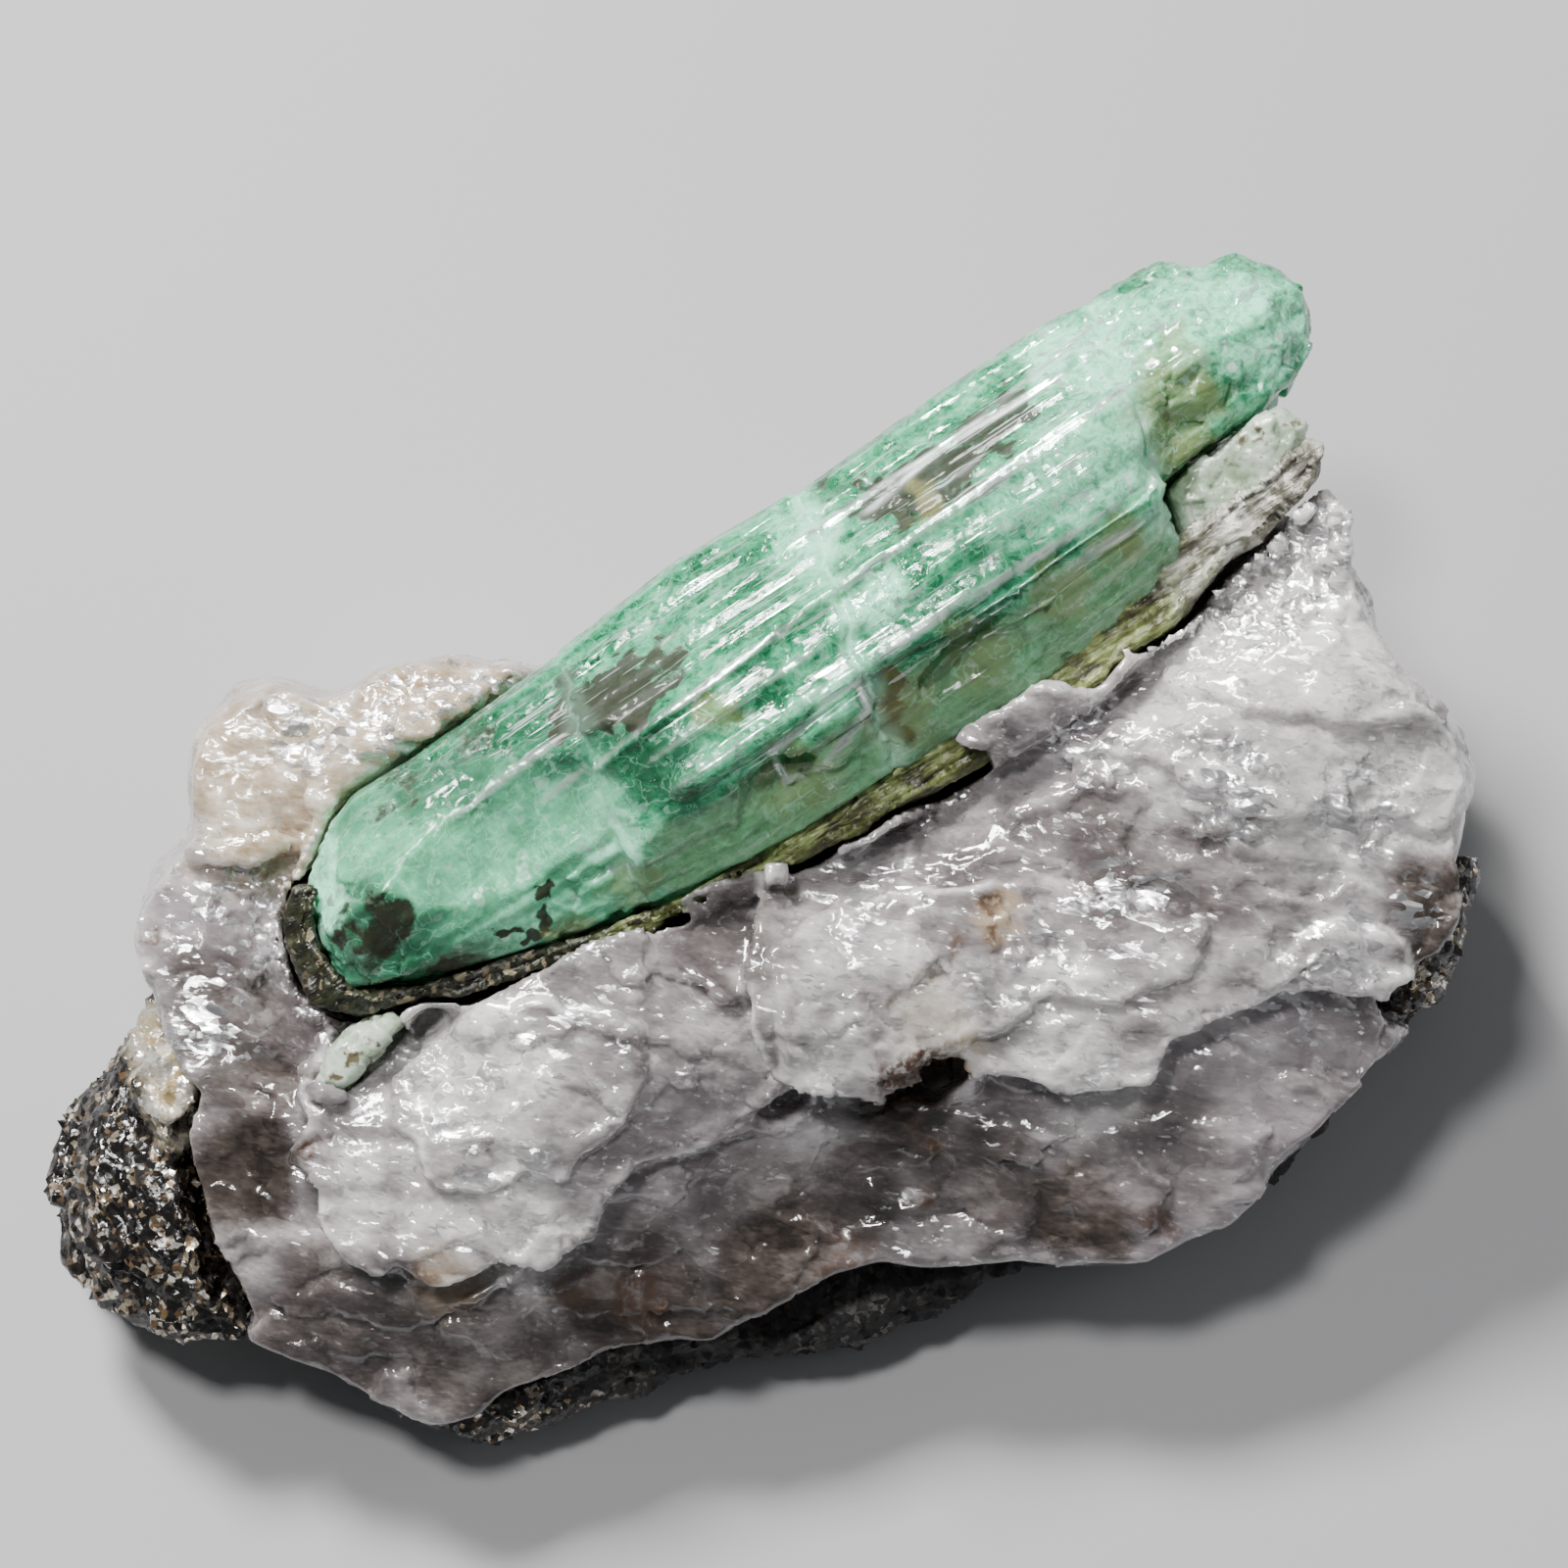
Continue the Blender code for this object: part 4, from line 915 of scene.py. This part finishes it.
# %% The emerald material
def emerald_material():
    f = Finish("emerald")
    veil, gleam, cleft, cloudy, bright, dark, deep, olive, lined, flank = (
        f.attribute(name) for name in (
            "veil", "gleam", "cleaved", "cloudy", "bright", "dark", "deep", "olive", "lined", "flank"))
    along = f.along_prism(9.0)
    streak = f.noise(0.42, 4.0, 0.6, place=along)
    longer = f.node("VectorMath", {"operation": "MULTIPLY"}, {0: along, 1: (0.25, 1.0, 1.0)})
    scratch = f.noise(0.13, 1.0, 0.5, place=longer)
    mist = f.noise(1.6, 6.0, 0.65, 0.4)
    feather = f.noise(0.5, 5.0, 0.7, 1.0)
    shade = 0.38 * mist + 0.42 * feather + 0.20 * streak
    body = f.ramp(shade, [
        (0.37, (0.003, 0.055, 0.022)), (0.45, (0.022, 0.235, 0.105)), (0.52, (0.085, 0.48, 0.255)),
        (0.62, (0.27, 0.81, 0.50))])
    body = f.mix(cleft * 0.6, body, f.mix(mist, (0.07, 0.30, 0.155), (0.25, 0.66, 0.42)))
    body = f.mix(deep * 0.85, body, f.mix(feather, (0.002, 0.020, 0.010), (0.045, 0.24, 0.12)))
    side = f.mix(streak * 0.5 + feather * 0.5, (0.02, 0.10, 0.03), (0.56, 0.92, 0.52))
    body = f.mix(flank * 0.7, body, side)
    # Lighter green at the BRIGHT patches: partly painted light.
    body = f.mix(bright * (0.35 + 0.55 * feather.above(0.5, 0.12)), body, (0.40, 0.94, 0.65))
    soot = (dark + 0.8 * (streak - 0.5) + 1.4 * (feather - 0.5)).above(0.55, 0.25)
    body = f.mix(soot * 0.97, body, f.mix(feather, (0.002, 0.003, 0.0015), (0.035, 0.033, 0.014)))
    body = f.mix(olive * (0.4 + 0.6 * feather), body, f.mix(streak, (0.06, 0.05, 0.016), (0.36, 0.37, 0.13)))
    body = f.mix(veil * 0.7, body, (0.48, 0.96, 0.71))
    # Painted highlight: thin near-white streaks along the prism, made mirror-like, standing in for glints on
    # the striae.
    painted_streak_lines = (scratch * 0.8 + streak * 0.2 + 0.05 * lined).above(0.65, 0.012)
    painted_streak_lines = painted_streak_lines * (1.0 - cleft * 0.9) * (1 - soot * 0.6) * (0.25 + 0.7 * lined)
    body = f.mix(painted_streak_lines, body, (0.90, 1.0, 0.96))
    body = f.mix(f.wisps(1.1) * 0.3 * (1 - soot), body, (0.38, 0.90, 0.62))
    chance, plane = f.flakes(0.30, f.warped(0.4, 0.14))
    mirror = (chance + 0.08 * bright).above(0.95, 0.02) * (0.25 + 0.75 * bright) * (1 - soot)
    shine = f.largest(painted_streak_lines, gleam * 0.9, mirror * 0.7)
    # Painted highlight along the ridges and the window's edge.
    body = f.mix(gleam * 0.85, body, (0.92, 1.0, 0.97))
    body = f.mix(mirror * 0.6, body, (0.80, 1.0, 0.93))
    roughness = 0.05 + 0.08 * mist + 0.20 * shine + 0.45 * soot
    fine = f.bump(plane * 0.025 + feather * 0.014 + streak * 0.012 + scratch * 0.014)
    clear = f.shader(
        Base_Color=(0.81, 0.95, 0.87, 1.0), Roughness=roughness, Normal=fine, IOR=1.58,
        Transmission_Weight=1.0)
    cloud = f.shader(
        Base_Color=body, Roughness=roughness, Normal=fine, IOR=1.58, Metallic=shine, Specular_IOR_Level=0.22,
        Subsurface_Weight=0.45, Subsurface_Radius=(0.4, 1.0, 0.7), Subsurface_Scale=0.0012,
        Coat_Weight=0.15, Coat_Roughness=0.04)
    share = 0.50 + 0.3 * mist + 0.4 * (cloudy + olive + bright) + 0.5 * (veil + soot + shine)
    inside_green = f.node("VolumeAbsorption", None, {"Color": (0.30, 0.84, 0.55, 1.0), "Density": 150.0})
    return f.show(f.blend(share, clear, cloud), inside_green)


give(emerald, emerald_material())

# %% [markdown]
# ## Schist relief
# Schist is stacked mica. Its broken edge is ragged and layered, and its surface is a mass of small plates
# that lie nearly, but never quite, the same way.

# %% The schist itself
SCHIST_VOXEL = 0.24
SCHIST_TRIANGLES = 150_000
UP = np.array((0.0, math.sin(LEAN), math.cos(LEAN)))

schist = copy_of_node("biotite_schist", "schist")
remesh(schist, SCHIST_VOXEL, 3)


def on_floor(points):
    """1 on the flat underside and just above it, so that it stays flat."""
    height = to_frame(points)[:, 2] / MM
    return 1.0 - rise(height, 0.05, 0.5)


def mica_layers(points, normals):
    level = points @ UP
    edge = 1.0 - np.abs(normals @ UP)
    squeezed = points + UP * (level * 2.5)[:, None]
    ragged = 0.30 * layered_noise(squeezed, 2.2, 71, 4) * (0.3 + edge)
    plates = 0.16 * facets(squeezed, 1.1, 72) + 0.08 * facets(points, 0.5, 73)
    return (ragged + plates) * (1.0 - on_floor(points))


press(schist, mica_layers)
thin_out(schist, SCHIST_TRIANGLES)
smooth_shade(schist)

# %% Schist finish
CREAM_MICA = [(-22.4, -8.4, 1.7, 1.0), (-21.9, -10.2, 1.1, 0.9), (-23.6, -7.0, 1.2, 0.6)]
points, normals = read_points(schist)
paint(schist, "cream", spots(points, CREAM_MICA, fray=0.8, size=1.0, seed=74))
# Painted shade: the schist along the bottom sits in the specimen's shadow, so it is made blacker and duller,
# without bright plates or coat.
paint(schist, "dull", rise(points[:, 0], -9.0, -5.0) * rise(-points[:, 1], 9.0, 12.0))


def schist_material():
    f = Finish("biotite schist")
    chance, plane = f.flakes(0.5)
    fine_chance, fine_plane = f.flakes(0.22)
    dust = f.noise(1.5, 5.0, 0.6)
    dull, cream = f.attribute("dull"), f.attribute("cream")
    bright_plate = (chance * 0.6 + fine_chance * 0.4).above(0.70, 0.04) * (1 - dull)
    colour = f.ramp(chance * 0.6 + fine_chance * 0.4, [
        (0.20, (0.003, 0.0025, 0.002)), (0.62, (0.007, 0.0055, 0.0045)), (0.72, (0.16, 0.10, 0.05)),
        (0.80, (0.70, 0.60, 0.43)), (0.88, (0.97, 0.94, 0.88))])
    colour = f.mix(dust.above(0.64, 0.05) * 0.3, colour, (0.06, 0.04, 0.028))
    # Painted shade on the bottom schist.
    colour = f.mix(dull * 0.9, colour, (0.006, 0.0055, 0.006))
    colour = f.mix(cream * 0.85, colour, f.mix(chance, (0.42, 0.32, 0.16), (0.95, 0.93, 0.86)))
    metallic = f.largest(bright_plate * 0.9, cream * chance.above(0.5, 0.1) * 0.7)
    roughness = 0.14 + 0.22 * fine_chance + 0.4 * dull
    normal = f.bump(plane * 0.30 + fine_plane * 0.12)
    return f.show(f.shader(
        Base_Color=colour, Metallic=metallic, Roughness=roughness, Normal=normal, IOR=1.6,
        Coat_Weight=0.2 * (1 - dull), Coat_Roughness=0.1))


give(schist, schist_material())

# %% [markdown]
# ## Mica selvage
# Between the emerald and the quartz runs a thin skin of olive brown mica, half weathered. At its left end the
# mica is black, and it is painted darker still as the shadow in the gap under the crystal.

# %% The selvage and its material
SELVAGE_VOXEL = 0.16
selvage = copy_of_node("biotite_selvage", "mica_selvage")
remesh(selvage, SELVAGE_VOXEL, 2)


def fibres(points, normals):
    sideways = 1.0 - facing_out(normals)
    swell = -0.25 + 0.40 * sideways
    return swell + 0.14 * along_prism(points, 4.0, 0.4, 81, 3) + 0.05 * facets(points, 0.5, 82)


press(selvage, fibres)
points, normals = read_points(selvage)
station = to_prism(points)[:, 0]
# Black mica at the left end, painted near black as the shadow in the gap under the crystal.
paint(selvage, "fresh", 1.0 - rise(station + layered_noise(points, 2.0, 83, 3), -13.0, -9.0))
paint(selvage, "silvery", rise(station + layered_noise(points, 2.0, 84, 3), 12.0, 15.0))
smooth_shade(selvage)


def selvage_material():
    f = Finish("weathered mica")
    chance, plane = f.flakes(0.28)
    dust = f.noise(1.3, 5.0, 0.65)
    fibre = f.noise(0.35, 4.0, 0.65, place=f.along_prism(6.0))
    colour = f.ramp(fibre * 0.6 + dust * 0.4, [
        (0.40, (0.020, 0.018, 0.007)), (0.48, (0.10, 0.11, 0.030)), (0.55, (0.24, 0.30, 0.09)),
        (0.66, (0.50, 0.58, 0.28))])
    fresh, silvery = f.attribute("fresh"), f.attribute("silvery")
    # Near black: black mica and painted shadow.
    black = f.mix(chance.above(0.9, 0.04), (0.007, 0.006, 0.005), (0.20, 0.16, 0.10))
    silver = f.mix(dust.above(0.50, 0.08), (0.16, 0.145, 0.12), (0.55, 0.54, 0.51))
    colour = f.mix(silvery * 0.8, f.mix(fresh * 0.9, colour, black), silver)
    normal = f.bump(plane * 0.12 + fibre * 0.15)
    return f.show(f.shader(
        Base_Color=colour, Roughness=0.20 + 0.35 * dust, Normal=normal, Metallic=0.2 * chance, IOR=1.6))


give(selvage, selvage_material())

# %% [markdown]
# ## Pale beryl
# Under the prism's tip sits a lump of paler beryl, crumbly and half clear, and a sliver of the same lies in
# the quartz at the left. They share one finish.

# %% The two pale pieces
def pale_beryl_material():
    f = Finish("pale beryl")
    mist = f.noise(1.2, 5.0, 0.6)
    chance, plane = f.flakes(0.6)
    colour = f.ramp(mist, [(0.3, (0.26, 0.36, 0.20)), (0.5, (0.52, 0.66, 0.50)), (0.7, (0.78, 0.86, 0.76))])
    colour = f.mix(f.noise(0.6, 4.0).above(0.62, 0.06), colour, (0.16, 0.13, 0.07))
    normal = f.bump(plane * 0.135 + f.noise(0.3, 4.0) * 0.03)
    clear = f.shader(
        Base_Color=(0.86, 0.94, 0.86, 1.0), Roughness=0.12, Normal=normal, IOR=1.57, Transmission_Weight=1.0)
    cloud = f.shader(
        Base_Color=colour, Roughness=0.15 + 0.25 * mist, Normal=normal, IOR=1.57, Coat_Weight=0.4,
        Subsurface_Weight=0.5, Subsurface_Radius=(0.9, 1.0, 0.9), Subsurface_Scale=0.001)
    return f.show(f.blend(0.55 + 0.4 * mist, clear, cloud))


PALE_VOXEL = 0.1


def crumbs(points, normals):
    return 0.1 + 0.16 * facets(points, 1.3, 91) + 0.05 * facets(points, 0.45, 92)


pale = pale_beryl_material()
for node, name in (("pale_beryl_crystal", "pale_beryl"), ("emerald_sliver", "green_sliver")):
    lump = copy_of_node(node, name)
    remesh(lump, PALE_VOXEL, 2)
    press(lump, crumbs)
    smooth_shade(lump)
    give(lump, pale)

# %% [markdown]
# ## Floor, light and camera
# The specimen lies on a plain pale floor. The key lamp stands beyond the specimen's top edge and rakes down
# over its face, so that every edge that faces it lights up. A smaller lamp stands nearly over the face and
# makes the flakes glint. One large soft lamp and a weak sky fill the shadows, and the camera looks squarely
# at the face that carries the crystal.

# %% Floor, lamps and camera
FACE_CENTRE = Vector(to_frame(np.array((0.7, 2.5, 4.0))))
FACE_OUT = Vector(to_frame(np.array((0.0, 0.0, 1.0))) - to_frame(np.zeros(3))).normalized()
CAMERA_DISTANCE = 0.22
FIELD_WIDTH = 0.0582


def add_floor():
    bpy.ops.mesh.primitive_plane_add(size=6.0, location=(0.0, 0.0, 0.0))
    floor = bpy.context.object
    floor.name = "floor"
    f = Finish("pale floor")
    floor.data.materials.append(f.show(f.shader(Base_Color=(0.36, 0.36, 0.37, 1.0), Roughness=0.6)))


def add_lamp(name, own_direction, distance, size, power, colour=(1.0, 1.0, 1.0)):
    lamp = bpy.data.lights.new(name, "AREA")
    lamp.size = size
    lamp.energy = power
    lamp.color = colour
    turn, _ = matrix_parts(OWN_TO_FRAME)
    direction = Vector(turn @ np.array(own_direction)).normalized()
    holder = bpy.data.objects.new(name, lamp)
    bpy.context.scene.collection.objects.link(holder)
    holder.location = FACE_CENTRE + direction * distance
    holder.rotation_euler = (-direction).to_track_quat("-Z", "Y").to_euler()


def add_camera():
    camera = bpy.data.cameras.new("camera")
    camera.sensor_width = 36.0
    camera.lens = camera.sensor_width * CAMERA_DISTANCE / FIELD_WIDTH
    camera.clip_start = 0.01
    holder = bpy.data.objects.new("camera", camera)
    bpy.context.scene.collection.objects.link(holder)
    holder.location = FACE_CENTRE + FACE_OUT * CAMERA_DISTANCE
    holder.rotation_euler = (LEAN, 0.0, 0.0)
    bpy.context.scene.camera = holder


def add_sky(strength):
    world = bpy.data.worlds.new("studio")
    world.use_nodes = True
    background = world.node_tree.nodes["Background"]
    background.inputs["Color"].default_value = (0.9, 0.95, 1.0, 1.0)
    background.inputs["Strength"].default_value = strength
    bpy.context.scene.world = world


add_floor()
add_lamp("key", (-0.36, 0.74, 0.56), 0.45, 0.10, 5.2, (1.0, 0.985, 0.96))
add_lamp("glint", (-0.24, 0.36, 0.90), 0.50, 0.06, 1.6, (1.0, 0.99, 0.98))
add_lamp("soft_right", (0.8, 0.3, 0.5), 0.5, 0.30, 0.35)
add_sky(0.16)
add_camera()
print("camera distance", CAMERA_DISTANCE, "m")
